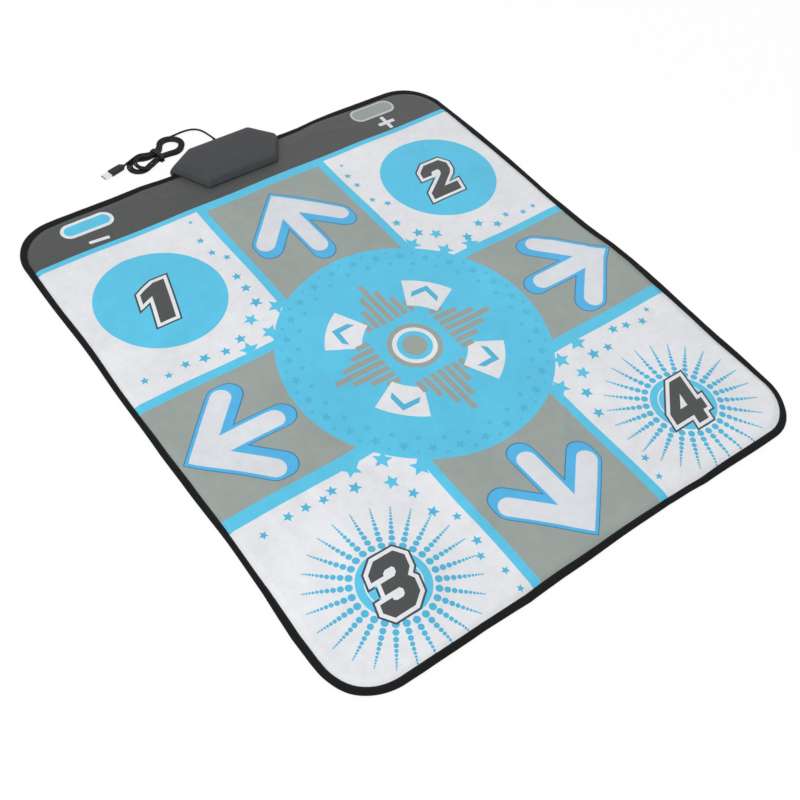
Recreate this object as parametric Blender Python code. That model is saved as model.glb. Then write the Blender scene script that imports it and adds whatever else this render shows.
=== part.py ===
"""Electronic dance mat: a soft foot-operated game controller with ten pressure keys,
a control box over its rear edge and a hanked cable with a plug.

Frame: metres, +Z up, origin at the middle of the mat's underside, +Y towards the
control box. Sizes below are in millimetres and become metres in `place`.
"""

import math

import bmesh
import bpy
from mathutils import Matrix, Vector

MM = 0.001

# Mat outline
HALF_WIDTH = 400.0
HALF_LENGTH = 462.5
CORNER_RADIUS = 75.0
CORNER_STEPS = 6

# Heights of the layers, bottom and top of each
GAP = 0.3
COVER_UNDERSIDE = 0.0
LOWER_FILM = (1.5, 1.8)
SPACER = (2.1, 4.1)
SPACER_EDGE = (2.0, 3.6)
UPPER_FILM = (4.4, 4.7)
TOP_FOAM = (5.0, 6.4)
TOP_COVER = (6.7, 7.3)
TOP_COVER_EDGE = (3.9, 4.5)
BOTTOM_COVER = (COVER_UNDERSIDE, 1.2)
BOTTOM_COVER_EDGE = (1.1, 1.7)

# How far each layer stays inside the outline
SKIRT_INSET = 1.7
BINDING_WIDTH = 10.0
BOTTOM_RAMP = (10.6, 12.4)
LOWER_FILM_INSET = 14.0
SPACER_RAMP = (10.6, 13.5)
UPPER_FILM_INSET = 19.5
TOP_FOAM_INSET = 19.5
TOP_RAMP = (10.5, 18.0)

# Keys
KEY_CROWN = 2.3
KEY_TRAVEL = 2.3
WINDOW_CLEARANCE = 0.6
SPACER_CLEARANCE = -0.5
PUCK_INSET = 1.5
CONTACT_INSET = 6.0
DISC_CENTRE = (0.0, -52.0)
DISC_CLEAR_RADIUS = 213.0
ARROW_HALF_WIDTH = 98.0
ARROW_CORNER = 7.0
PILL_HALF = (41.0, 13.0)
ROUND_STEPS = 24
ARC_STEPS = 8

# Control box
BOX_X = -9.0
BOX_FRONT_Y = 400.0
BOX_SIDE_Y = 462.0
BOX_REAR_Y = 498.5
BOX_FRONT_HALF = 66.5
BOX_SIDE_HALF = 100.5
BOX_REAR_HALF = 59.5
BOX_CORNER = 6.5
BOX_LEAST_CORNER = 3.0
BOX_RIM = 7.6
BOX_WALL = 2.2
MAT_REAR_EDGE = HALF_LENGTH + 0.7
# The upper shell from its rim to the middle of its top, as (inset, height)
LID_OUTSIDE = (
    (0.0, BOX_RIM), (0.3, 9.4), (4.6, 17.2), (6.2, 19.5), (9.0, 20.9), (15.0, 21.7), (28.0, 22.0),
)
LID_INSIDE = ((0.0, BOX_RIM - 2.0), (0.3, 9.4), (4.6, 16.8), (7.2, 19.0))
LID_ROOF = 19.8

# Clamp, screws and board inside the box
WINDOW_X = 44.0
WINDOW_Y = (404.0, 438.0)
CLAMP_Y = (407.5, 434.5)
FRONT_SCREW = (36.0, 421.0)
REAR_SCREW = (44.0, 478.0)
SCREW_RADIUS = 1.2
BORE_RADIUS = 1.5
BOARD_X = 36.0
BOARD_Y = (431.0, 484.0)
BOARD_Z = (7.6, 9.2)
RIBBON_HALF = 28.0
RIBBON_THICK = 0.3

# Cable
CORD = 3.5
CORD_RADIUS = CORD / 2
CABLE_X = -3.6
CABLE_Z = 7.45
GROMMET_END_Y = 508.0
GROMMET_RIBS = 4
# Where the cable passes between the grommet and the hank
LEAD_SPOTS = (
    (-3.5, 519.5, 5.4), (-3.2, 528.0, 2.9), (-4.4, 536.5, 1.95), (-8.0, 545.5, 1.8),
    (-14.5, 552.2, 1.8), (-23.5, 556.0, 1.8), (-33.0, 557.2, 1.8), (-43.5, 557.0, 1.8),
    (-54.5, 556.0, 1.8),
)

# Hank: two lobes and a waist, wound inwards on one layer and outwards on the next
HANK_CENTRE = (-104.3, 519.4)
HANK_HEADING = math.radians(12.5)
HANK_TURN = math.radians(22.0) / 56.0
RIGHT_LOBE = (23.8, 34.4)
LEFT_LOBE = (20.8, 36.2)
WAIST_HALF = 12.2
LOOP_PITCH = 4.2
LOOP_START = 0.10
POINTS_PER_LOOP = 24
LOOP_TURNS = 127 / POINTS_PER_LOOP
LAYER_STEP = 4.1
WAIST_LIFT = 1.7
WAIST_LIFT_LENGTH = 12.0
TIE_WIDTH = 5.0
TIE_THICK = 0.9
TIE_CORNER = 2.2
TIE_CLEARANCE = 1.3

# Plug
PLUG_REAR = (-163.6, 525.8)
PLUG_HEADING = math.radians(193.6)
PLUG_Z = 4.2
PLUG_LENGTH = 28.5
SHELL_LENGTH = 13.0
SHELL_HALF = (6.0, 2.25)
SHELL_WALL = 0.4
SHELL_BACK = 0.8
# The shell's windows: middle across, half width, and both ends from the shell's mouth
LATCH_ACROSS = 2.9
LATCH_HALF = 1.2
LATCH_ENDS = (5.2, 7.4)

CLOTH_GREY = (0.62, 0.64, 0.62)
CLOTH_WHITE = (0.88, 0.89, 0.91)
CLOTH_BLUE = (0.12, 0.57, 0.83)
BINDING_BLACK = (0.012, 0.014, 0.014)
BOX_GREY = (0.068, 0.070, 0.078)
CABLE_BLACK = (0.010, 0.011, 0.011)
FOAM_GREY = (0.35, 0.36, 0.37)
FILM_CLEAR = (0.70, 0.74, 0.72)
CONTACT_SILVER = (0.45, 0.46, 0.47)
COVER_BLACK = (0.02, 0.02, 0.022)
BOARD_GREEN = (0.02, 0.16, 0.07)
STEEL = (0.62, 0.62, 0.60)
TONGUE_WHITE = (0.80, 0.80, 0.78)


def clear_scene():
    """Removes every object that the file opened with."""
    for thing in list(bpy.data.objects):
        bpy.data.objects.remove(thing, do_unlink=True)


def material(name, colour, roughness, metallic=0.0):
    """A plain Principled material."""
    made = bpy.data.materials.new(name)
    made.use_nodes = True
    shader = made.node_tree.nodes["Principled BSDF"]
    shader.inputs["Base Color"].default_value = (*colour, 1.0)
    shader.inputs["Roughness"].default_value = roughness
    shader.inputs["Metallic"].default_value = metallic
    made.diffuse_color = (*colour, 1.0)
    return made


def place(bm, name, finish, origin=(0.0, 0.0, 0.0), smooth=False):
    """Turns a mesh in millimetres into an object in metres, its origin at `origin`."""
    bmesh.ops.recalc_face_normals(bm, faces=bm.faces)
    shift = Matrix.Translation(-Vector(origin))
    bm.transform(Matrix.Scale(MM, 4) @ shift)
    mesh = bpy.data.meshes.new(name)
    bm.to_mesh(mesh)
    bm.free()
    if smooth:
        mesh.shade_smooth()
        mesh.set_sharp_from_angle(angle=math.radians(35))
    thing = bpy.data.objects.new(name, mesh)
    thing.location = Vector(origin) * MM
    mesh.materials.append(finish)
    bpy.context.scene.collection.objects.link(thing)
    return thing


def hide_cutter(thing):
    """A cutting tool shows as wire and isn't part of the object."""
    thing.hide_render = True
    thing.display_type = "WIRE"
    return thing


def boolean(target, tool, operation):
    """Adds an exact Boolean of `tool` to `target`."""
    cut = target.modifiers.new(tool.name, "BOOLEAN")
    cut.operation = operation
    cut.object = tool
    cut.solver = "EXACT"


def rounded_rectangle(half_x, half_y, radius, steps=CORNER_STEPS):
    """Corner points of a rounded rectangle, counter-clockwise from its right side."""
    points = []
    for quarter, (sx, sy) in enumerate(((1, 1), (-1, 1), (-1, -1), (1, -1))):
        for step in range(steps + 1):
            angle = math.radians(90.0 * (quarter + step / steps))
            points.append(
                (
                    sx * (half_x - radius) + radius * math.cos(angle),
                    sy * (half_y - radius) + radius * math.sin(angle),
                )
            )
    return points


def mat_outline(inset):
    """The mat's outline, drawn in by `inset`."""
    return rounded_rectangle(
        HALF_WIDTH - inset, HALF_LENGTH - inset, CORNER_RADIUS - inset
    )


def rectangle(x0, x1, y0, y1):
    """The four corners of a rectangle, counter-clockwise."""
    return [(x0, y0), (x1, y0), (x1, y1), (x0, y1)]


def circle(centre, radius, steps=ROUND_STEPS):
    """Points round a circle, counter-clockwise."""
    return [
        (
            centre[0] + radius * math.cos(2 * math.pi * k / steps),
            centre[1] + radius * math.sin(2 * math.pi * k / steps),
        )
        for k in range(steps)
    ]


def fillet(points, radius, steps=3):
    """Rounds each corner of a polygon with an arc of `radius`."""
    rounded = []
    count = len(points)
    for k, corner in enumerate(points):
        here = Vector(corner)
        before = (Vector(points[k - 1]) - here).normalized()
        after = (Vector(points[(k + 1) % count]) - here).normalized()
        half = before.angle(after) / 2
        reach = radius / math.tan(half)
        middle = here + (before + after).normalized() * (radius / math.sin(half))
        first = here + before * reach - middle
        sweep = first.angle_signed(here + after * reach - middle)
        for step in range(steps + 1):
            spoke = first.copy()
            spoke.rotate(Matrix.Rotation(-sweep * step / steps, 2))
            rounded.append(tuple(middle + spoke))
    return rounded


def inset_polygon(points, inset):
    """Moves each edge of a counter-clockwise convex polygon inwards by `inset`."""
    moved = []
    count = len(points)
    for k, corner in enumerate(points):
        here = Vector(corner)
        into = (here - Vector(points[k - 1])).normalized()
        out = (Vector(points[(k + 1) % count]) - here).normalized()
        normal_in = Vector((-into.y, into.x))
        normal_out = Vector((-out.y, out.x))
        bisector = (normal_in + normal_out).normalized()
        moved.append(tuple(here + bisector * (inset / bisector.dot(normal_in))))
    return moved


def add_ring(bm, points, z):
    """Adds the vertices of one level ring."""
    return [bm.verts.new((x, y, z)) for x, y in points]


def bridge(bm, ring_a, ring_b):
    """Joins two rings of the same number of vertices with quads."""
    count = len(ring_a)
    for k in range(count):
        bm.faces.new((ring_a[k], ring_a[(k + 1) % count], ring_b[(k + 1) % count], ring_b[k]))


def fan(bm, ring, centre):
    """Closes a ring with triangles to one middle point."""
    tip = bm.verts.new(centre)
    count = len(ring)
    for k in range(count):
        bm.faces.new((ring[k], ring[(k + 1) % count], tip))


def loft(name, rings, finish, origin=(0.0, 0.0, 0.0), smooth=True):
    """A closed solid through level rings given as (points, z), with flat ends."""
    bm = bmesh.new()
    made = [add_ring(bm, points, z) for points, z in rings]
    for low, high in zip(made, made[1:]):
        bridge(bm, low, high)
    bm.faces.new(made[0])
    bm.faces.new(made[-1])
    return place(bm, name, finish, origin, smooth)


def prism(name, points, z0, z1, finish, origin=(0.0, 0.0, 0.0)):
    """An upright solid of one outline."""
    return loft(name, [(points, z0), (points, z1)], finish, origin, smooth=False)


def fill_level(bm, rings):
    """Fills the level area between an outer ring and the rings of its windows."""
    edges = []
    for ring in rings:
        for k, vert in enumerate(ring):
            following = ring[(k + 1) % len(ring)]
            edge = bm.edges.get((vert, following))
            edges.append(edge or bm.edges.new((vert, following)))
    bmesh.ops.triangle_fill(bm, edges=edges, use_beauty=True)


def layer(name, steps, windows, finish):
    """A sheet of the mat. `steps` are (inset, underside, top) from its rim inwards, and
    `windows` are outlines cut through its level middle."""
    bm = bmesh.new()
    sides = []
    for side in (1, 2):
        rings = [add_ring(bm, mat_outline(step[0]), step[side]) for step in steps]
        for outer, inner in zip(rings, rings[1:]):
            bridge(bm, outer, inner)
        cuts = [add_ring(bm, window, steps[-1][side]) for window in windows]
        fill_level(bm, [rings[-1], *cuts])
        sides.append([rings[0], *cuts])
    for low, high in zip(*sides):
        bridge(bm, low, high)
    return place(bm, name, finish)


def arrow_outline(reach, turn, grow):
    """The give-way field round an arrow: a square, its inner side cut by the middle disc.
    `reach` is its outer side's distance from the disc's centre."""
    half = ARROW_HALF_WIDTH + grow
    radius = DISC_CLEAR_RADIUS - grow
    outer = reach + grow
    side = math.asin(half / radius)
    points = []
    for step in range(ARC_STEPS + 1):
        angle = -side + 2 * side * step / ARC_STEPS
        points.append((radius * math.sin(angle), radius * math.cos(angle)))
    bend = ARROW_CORNER + grow
    for sx, first in ((1, 0.0), (-1, 90.0)):
        for step in range(4):
            angle = math.radians(first + 30.0 * step)
            points.append(
                (
                    sx * (half - bend) + bend * math.cos(angle),
                    outer - bend + bend * math.sin(angle),
                )
            )
    cos_turn = math.cos(turn)
    sin_turn = math.sin(turn)
    return [
        (
            DISC_CENTRE[0] + x * cos_turn - y * sin_turn,
            DISC_CENTRE[1] + x * sin_turn + y * cos_turn,
        )
        for x, y in points
    ]


def pill_outline(centre, grow):
    """A pill-shaped key's field."""
    half_x, half_y = (half + grow for half in PILL_HALF)
    outline = rounded_rectangle(half_x, half_y, half_y - 0.01, 5)
    return [(centre[0] + x, centre[1] + y) for x, y in outline]


# Each arrow's turn, its outer side's distance from the disc's centre, and its middle
ARROWS = {
    "up": (0.0, 402.0, (0.0, 255.0)),
    "left": (math.pi / 2, 371.0, (-288.0, -52.0)),
    "down": (math.pi, 384.0, (0.0, -350.0)),
    "right": (-math.pi / 2, 371.0, (288.0, -52.0)),
}
# Each round key's middle, radius and colour
DISCS = {
    "rear_left": ((-261.0, 226.0), 97.0, CLOTH_BLUE),
    "rear_right": ((265.0, 229.0), 97.0, CLOTH_BLUE),
    "front_left": ((-258.0, -349.0), 85.0, CLOTH_WHITE),
    "front_right": ((262.0, -349.0), 85.0, CLOTH_WHITE),
}
# Each pill key's middle and colour
PILLS = {
    "minus": ((-277.0, 423.5), CLOTH_BLUE),
    "plus": ((277.0, 423.5), CLOTH_GREY),
}


def key_fields(grow):
    """Every key's name, outline (grown by `grow`), middle and colour."""
    fields = [
        (key, arrow_outline(reach, turn, grow), middle, CLOTH_GREY)
        for key, (turn, reach, middle) in ARROWS.items()
    ]
    fields += [
        (key, circle(middle, radius + grow), middle, colour)
        for key, (middle, radius, colour) in DISCS.items()
    ]
    fields += [
        (key, pill_outline(middle, grow), middle, colour)
        for key, (middle, colour) in PILLS.items()
    ]
    return fields


def key_windows(grow):
    """The outlines of every key's window, `grow` larger than the key."""
    return [outline for _, outline, _, _ in key_fields(grow)]


def build_layers():
    """The sheets of the mat, from the floor up, and the binding that holds their rims."""
    cover = material("anti_slip_cover", COVER_BLACK, 0.85)
    film = material("contact_film", FILM_CLEAR, 0.35)
    foam = material("layer_foam", FOAM_GREY, 0.95)
    cloth = material("printed_cloth", CLOTH_WHITE, 0.55)
    box_window = rectangle(BOX_X - WINDOW_X, BOX_X + WINDOW_X, *WINDOW_Y)
    clamp_window = rectangle(
        BOX_X - WINDOW_X, BOX_X + WINDOW_X, CLAMP_Y[0] - 0.5, CLAMP_Y[1] + 0.5
    )
    layer(
        "bottom_cover",
        [
            (SKIRT_INSET, *BOTTOM_COVER_EDGE),
            (BOTTOM_RAMP[0], *BOTTOM_COVER_EDGE),
            (BOTTOM_RAMP[1], *BOTTOM_COVER),
        ],
        [clamp_window],
        cover,
    )
    layer("lower_contact_film", [(LOWER_FILM_INSET, *LOWER_FILM)], [box_window], film)
    layer(
        "spacer_foam",
        [
            (SKIRT_INSET, *SPACER_EDGE),
            (SPACER_RAMP[0], *SPACER_EDGE),
            (SPACER_RAMP[1], *SPACER),
        ],
        [*key_windows(SPACER_CLEARANCE), box_window],
        foam,
    )
    windows = key_windows(WINDOW_CLEARANCE)
    layer(
        "upper_contact_film", [(UPPER_FILM_INSET, *UPPER_FILM)], [*windows, box_window], film
    )
    layer("top_foam", [(TOP_FOAM_INSET, *TOP_FOAM)], [*windows, box_window], foam)
    slot = rectangle(BOX_X - 30.0, BOX_X + 30.0, 424.8, 429.8)
    holes = [
        circle((BOX_X + side * FRONT_SCREW[0], FRONT_SCREW[1]), 3.8, 10) for side in (-1, 1)
    ]
    layer(
        "top_cover",
        [
            (SKIRT_INSET, *TOP_COVER_EDGE),
            (TOP_RAMP[0], *TOP_COVER_EDGE),
            (TOP_RAMP[1], *TOP_COVER),
        ],
        [*windows, slot, *holes],
        cloth,
    )
    build_binding()


def build_binding():
    """The tape folded round the rim: a U-shaped section carried round the outline."""
    width = BINDING_WIDTH
    section = [
        (width, 0.0), (1.4, 0.0), (0.3, 0.6), (0.0, 1.6), (0.0, 4.0), (0.3, 5.0),
        (1.4, 5.6), (width, 5.6), (width, 4.8), (1.6, 4.8), (0.8, 4.0), (0.8, 1.6),
        (1.6, 0.8), (width, 0.8),
    ]
    bm = bmesh.new()
    rings = [add_ring(bm, mat_outline(inset), z) for inset, z in section]
    for near, far in zip(rings, rings[1:] + rings[:1]):
        bridge(bm, near, far)
    place(bm, "edge_binding", material("binding_tape", BINDING_BLACK, 0.8), smooth=True)


def crowned_face(name, outline, centre, finish, origin):
    """The piece of sheet over a key: flat below, gently crowned above."""
    levels = ((1.0, 0.0), (0.80, 0.62), (0.45, 0.90))
    bm = bmesh.new()
    below = add_ring(bm, outline, TOP_COVER[0])
    rings = []
    for scale, rise in levels:
        drawn = [
            (centre[0] + (x - centre[0]) * scale, centre[1] + (y - centre[1]) * scale)
            for x, y in outline
        ]
        rings.append(add_ring(bm, drawn, TOP_COVER[1] + KEY_CROWN * rise))
    bm.faces.new(below)
    for low, high in zip([below, *rings], rings):
        bridge(bm, low, high)
    fan(bm, rings[-1], (*centre, TOP_COVER[1] + KEY_CROWN))
    return place(bm, name, finish, origin, smooth=True)


def build_keys():
    """Each key moves as one: the sheet over it, its foam puck and its contact patch.
    They hang from an empty on the key's line of travel."""
    foam = material("puck_foam", FOAM_GREY, 0.95)
    silver = material("contact_ink", CONTACT_SILVER, 0.4)
    outlines = zip(key_fields(0.0), key_windows(-PUCK_INSET), key_windows(-CONTACT_INSET))
    for (key, face, centre, colour), puck, contact in outlines:
        finish = material(f"key_print_{key}", colour, 0.55)
        origin = (*centre, TOP_COVER[1])
        guide = bpy.data.objects.new(f"{key}_travel", None)
        guide.location = Vector(origin) * MM
        bpy.context.scene.collection.objects.link(guide)
        pieces = (
            crowned_face(f"key_{key}_face", face, centre, finish, origin),
            prism(f"key_{key}_foam", puck, *TOP_FOAM, foam, origin),
            prism(f"key_{key}_contact", contact, *UPPER_FILM, silver, origin),
        )
        for piece in pieces:
            piece.location = (0.0, 0.0, 0.0)
            piece.parent = guide


def box_outline(inset):
    """The control box's six-sided outline with rounded corners."""
    corners = [
        (BOX_X - BOX_FRONT_HALF, BOX_FRONT_Y),
        (BOX_X + BOX_FRONT_HALF, BOX_FRONT_Y),
        (BOX_X + BOX_SIDE_HALF, BOX_SIDE_Y),
        (BOX_X + BOX_REAR_HALF, BOX_REAR_Y),
        (BOX_X - BOX_REAR_HALF, BOX_REAR_Y),
        (BOX_X - BOX_SIDE_HALF, BOX_SIDE_Y),
    ]
    return fillet(
        inset_polygon(corners, inset), max(BOX_CORNER - 0.3 * inset, BOX_LEAST_CORNER)
    )


def upright_cylinders(name, places, finish):
    """Separate upright cylinders, given as (x, y, radius, z0, z1), as one tool."""
    bm = bmesh.new()
    for x, y, radius, z0, z1 in places:
        low, high = (add_ring(bm, circle((x, y), radius, 12), z) for z in (z0, z1))
        bridge(bm, low, high)
        bm.faces.new(low)
        bm.faces.new(high)
    return hide_cutter(place(bm, name, finish))


def block(name, x0, x1, y0, y1, z0, z1, finish):
    """A plain block."""
    return prism(name, rectangle(x0, x1, y0, y1), z0, z1, finish)


def screw_spots():
    """The middles of the four screws: two through the mat, two behind its edge."""
    return [
        (BOX_X + side * spot[0], spot[1]) for spot in (FRONT_SCREW, REAR_SCREW) for side in (-1, 1)
    ]


def cable_bore(name, finish):
    """The round opening for the cable's grommet, half in each shell."""
    bm = bmesh.new()
    rings = []
    for y in (BOX_REAR_Y - 8.0, BOX_REAR_Y + 4.0):
        rings.append(
            [bm.verts.new((x, y, z)) for x, z in circle((CABLE_X, CABLE_Z), 2.9, 12)]
        )
    bridge(bm, *rings)
    for ring in rings:
        bm.faces.new(ring)
    return hide_cutter(place(bm, name, finish))


def build_top_shell(finish):
    """The upper shell: drafted walls, rounded shoulder, slight crown, open below, with a
    boss for each screw and two ribs that press the ribbon's clamp bar."""
    shell = loft("box_top_shell", [(box_outline(inset), z) for inset, z in LID_OUTSIDE], finish)
    cavity = hide_cutter(
        loft(
            "top_cavity",
            [(box_outline(BOX_WALL + inset), z) for inset, z in LID_INSIDE],
            finish,
            smooth=False,
        )
    )
    spots = screw_spots()
    bosses = upright_cylinders(
        "top_bosses",
        [(x, y, 3.2, 6.6 if y < BOX_SIDE_Y else 4.4, LID_ROOF) for x, y in spots],
        finish,
    )
    ribs = [
        hide_cutter(
            block(f"top_rib_{k}", x - 1.0, x + 1.0, 435.0, 444.0, 12.5, LID_ROOF, finish)
        )
        for k, x in enumerate((BOX_X - 18.0, BOX_X + 18.0))
    ]
    bores = upright_cylinders(
        "top_bores", [(x, y, BORE_RADIUS, 2.0, 14.0) for x, y in spots], finish
    )
    boolean(shell, cavity, "DIFFERENCE")
    boolean(shell, bosses, "UNION")
    for rib in ribs:
        boolean(shell, rib, "UNION")
    boolean(shell, bores, "DIFFERENCE")
    boolean(shell, cable_bore("top_cable_bore", finish), "DIFFERENCE")


def build_bottom_shell(finish):
    """The lower shell: a tray behind the mat's rear edge, under the rear of the box."""
    tray = loft(
        "box_bottom_shell",
        [
            (box_outline(1.8), 0.0),
            (box_outline(0.5), 1.2),
            (box_outline(0.0), 3.2),
            (box_outline(0.0), BOX_RIM - GAP),
        ],
        finish,
    )
    front = hide_cutter(
        block("tray_front_cut", -150.0, 150.0, 380.0, MAT_REAR_EDGE, -2.0, 12.0, finish)
    )
    cavity = hide_cutter(
        loft(
            "tray_cavity",
            [
                (box_outline(BOX_WALL + 0.4), 2.0),
                (box_outline(BOX_WALL), 3.4),
                (box_outline(BOX_WALL), 9.0),
            ],
            finish,
            smooth=False,
        )
    )
    wall = hide_cutter(
        block(
            "tray_front_wall", -150.0, 150.0, 380.0, MAT_REAR_EDGE + BOX_WALL, 0.0, 12.0, finish
        )
    )
    boolean(cavity, wall, "DIFFERENCE")
    spots = [spot for spot in screw_spots() if spot[1] > BOX_SIDE_Y]
    posts = [(x, y, 3.2, 1.0, 4.1) for x, y in spots]
    posts += [(BOX_X + side * 26.0, 473.0, 2.4, 1.0, BOARD_Z[0] - GAP) for side in (-1, 1)]
    boolean(tray, front, "DIFFERENCE")
    boolean(tray, cavity, "DIFFERENCE")
    boolean(tray, upright_cylinders("tray_posts", posts, finish), "UNION")
    heads = [(x, y, 2.8, -1.0, 1.8) for x, y in spots]
    bores = [(x, y, BORE_RADIUS, 0.5, 6.0) for x, y in spots]
    boolean(tray, upright_cylinders("tray_heads", heads, finish), "DIFFERENCE")
    boolean(tray, upright_cylinders("tray_bores", bores, finish), "DIFFERENCE")
    boolean(tray, cable_bore("tray_cable_bore", finish), "DIFFERENCE")


def build_clamp_plate(finish):
    """The plate in the bottom cover's window that the box is screwed down to."""
    x0, x1 = BOX_X - WINDOW_X + 0.5, BOX_X + WINDOW_X - 0.5
    inner = [(x0 + 0.6, x1 - 0.6), (CLAMP_Y[0] + 0.6, CLAMP_Y[1] - 0.6)]
    plate = loft(
        "clamp_plate",
        [
            (rectangle(*inner[0], *inner[1]), 0.0),
            (rectangle(x0, x1, *CLAMP_Y), 0.5),
            (rectangle(x0, x1, *CLAMP_Y), 1.4),
        ],
        finish,
        smooth=False,
    )
    spots = [spot for spot in screw_spots() if spot[1] < BOX_SIDE_Y]
    posts = upright_cylinders("clamp_posts", [(x, y, 3.6, 0.9, 6.3) for x, y in spots], finish)
    heads = upright_cylinders("clamp_heads", [(x, y, 2.8, -1.0, 1.8) for x, y in spots], finish)
    bores = upright_cylinders(
        "clamp_bores", [(x, y, BORE_RADIUS, 1.0, 9.0) for x, y in spots], finish
    )
    boolean(plate, posts, "UNION")
    boolean(plate, heads, "DIFFERENCE")
    boolean(plate, bores, "DIFFERENCE")


def turned(name, profile, base, axis, finish, steps=12):
    """A turned piece. `profile` is (distance along the axis, radius) from end to end."""
    side = Vector((0, 0, 1)) if abs(axis.z) < 0.5 else Vector((1, 0, 0))
    across = axis.cross(side).normalized()
    up = across.cross(axis).normalized()
    bm = bmesh.new()
    rings = []
    for along, radius in profile:
        rings.append(
            [
                bm.verts.new(base + axis * along + across * x + up * y)
                for x, y in circle((0.0, 0.0), radius, steps)
            ]
        )
    for near, far in zip(rings, rings[1:]):
        bridge(bm, near, far)
    bm.faces.new(rings[0])
    bm.faces.new(rings[-1])
    return place(bm, name, finish, smooth=True)


def build_screws():
    """Four like pan-head screws, driven up from the underside."""
    steel = material("screw_steel", STEEL, 0.35, 1.0)
    head = [(0.3, 1.7), (0.7, 2.4), (1.5, 2.4)]
    profile = [*head, (1.5, SCREW_RADIUS), (12.2, SCREW_RADIUS), (13.4, 0.4)]
    for number, (x, y) in enumerate(screw_spots(), 1):
        turned(f"box_screw_{number}", profile, Vector((x, y, 0.0)), Vector((0, 0, 1)), steel, 10)


def build_board():
    """The circuit board with its chip and crystal, the ribbon that comes up through the
    sheet, and the bar that clamps the ribbon to the board."""
    green = material("board_green", BOARD_GREEN, 0.4)
    black = material("chip_black", COVER_BLACK, 0.5)
    steel = material("crystal_can", STEEL, 0.25, 1.0)
    film = material("ribbon_film", FILM_CLEAR, 0.3)
    bar = material("clamp_bar_plastic", BOX_GREY, 0.5)
    block("circuit_board", BOX_X - BOARD_X, BOX_X + BOARD_X, *BOARD_Y, *BOARD_Z, green)
    top = BOARD_Z[1] + GAP
    chip_x, chip_y = BOX_X + 8.0, 461.0
    loft(
        "controller_chip",
        [
            (rectangle(chip_x - 7.0, chip_x + 7.0, chip_y - 5.0, chip_y + 5.0), top),
            (rectangle(chip_x - 7.4, chip_x + 7.4, chip_y - 5.4, chip_y + 5.4), top + 1.0),
            (rectangle(chip_x - 7.0, chip_x + 7.0, chip_y - 5.0, chip_y + 5.0), top + 2.0),
        ],
        black,
        smooth=False,
    )
    can = [(BOX_X - 15.0 + x, 461.0 + y) for x, y in rounded_rectangle(5.4, 2.3, 2.29, 3)]
    prism("clock_crystal", can, top, top + 3.4, steel)
    build_ribbon(film)
    loft(
        "ribbon_clamp_bar",
        [
            (rectangle(BOX_X - 30.0, BOX_X + 30.0, 436.0, 443.0), 10.2),
            (rectangle(BOX_X - 30.0, BOX_X + 30.0, 436.0, 443.0), 11.4),
            (rectangle(BOX_X - 29.4, BOX_X + 29.4, 437.0, 442.0), 12.1),
        ],
        bar,
        smooth=False,
    )


def build_ribbon(finish):
    """The films' common tail: level between the films, up through the slot, then over
    the board's contacts."""
    route = [
        Vector((404.4, 4.55)), Vector((420.5, 4.55)), Vector((424.3, 5.2)),
        Vector((426.5, 6.8)), Vector((427.4, 8.3)), Vector((429.0, 9.5)),
        Vector((432.0, 9.8)), Vector((445.0, 9.8)),
    ]
    bm = bmesh.new()
    rings = []
    for k, spot in enumerate(route):
        before = route[max(k - 1, 0)]
        after = route[min(k + 1, len(route) - 1)]
        along = (after - before).normalized()
        normal = Vector((-along.y, along.x)) * (RIBBON_THICK / 2)
        ring = []
        for x, side in ((-1, -1), (1, -1), (1, 1), (-1, 1)):
            edge = spot + normal * side
            ring.append(bm.verts.new((BOX_X + x * RIBBON_HALF, edge.x, edge.y)))
        rings.append(ring)
    for near, far in zip(rings, rings[1:]):
        bridge(bm, near, far)
    bm.faces.new(rings[0])
    bm.faces.new(rings[-1])
    place(bm, "sensor_ribbon", finish)


def build_box():
    """The control box and everything in it."""
    plastic = material("box_plastic", BOX_GREY, 0.55)
    build_top_shell(plastic)
    build_bottom_shell(plastic)
    build_clamp_plate(plastic)
    build_screws()
    build_board()
    build_grommet()


def build_grommet():
    """The cable's grommet: a groove that sits in the rear wall and a ribbed, tapered neck."""
    wall_inner = BOX_REAR_Y - BOX_WALL
    profile = [
        (wall_inner - 2.6, 3.2),
        (wall_inner - 1.5, 3.2),
        (wall_inner - 1.5, 2.55),
        (BOX_REAR_Y + 0.4, 2.55),
        (BOX_REAR_Y + 0.4, 3.4),
        (BOX_REAR_Y + 1.4, 3.4),
    ]
    first = BOX_REAR_Y + 1.6
    pitch = (GROMMET_END_Y - first) / GROMMET_RIBS
    for rib in range(GROMMET_RIBS):
        start = first + pitch * rib
        radius = 3.1 - 0.2 * rib
        profile += [
            (start, radius - 0.5),
            (start + 0.4 * pitch, radius - 0.5),
            (start + 0.5 * pitch, radius),
            (start + 0.9 * pitch, radius),
        ]
    profile.append((GROMMET_END_Y, 2.2))
    rubber = material("grommet_rubber", CABLE_BLACK, 0.6)
    turned("cable_grommet", profile, Vector((CABLE_X, 0.0, CABLE_Z)), Vector((0, 1, 0)), rubber)


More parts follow.
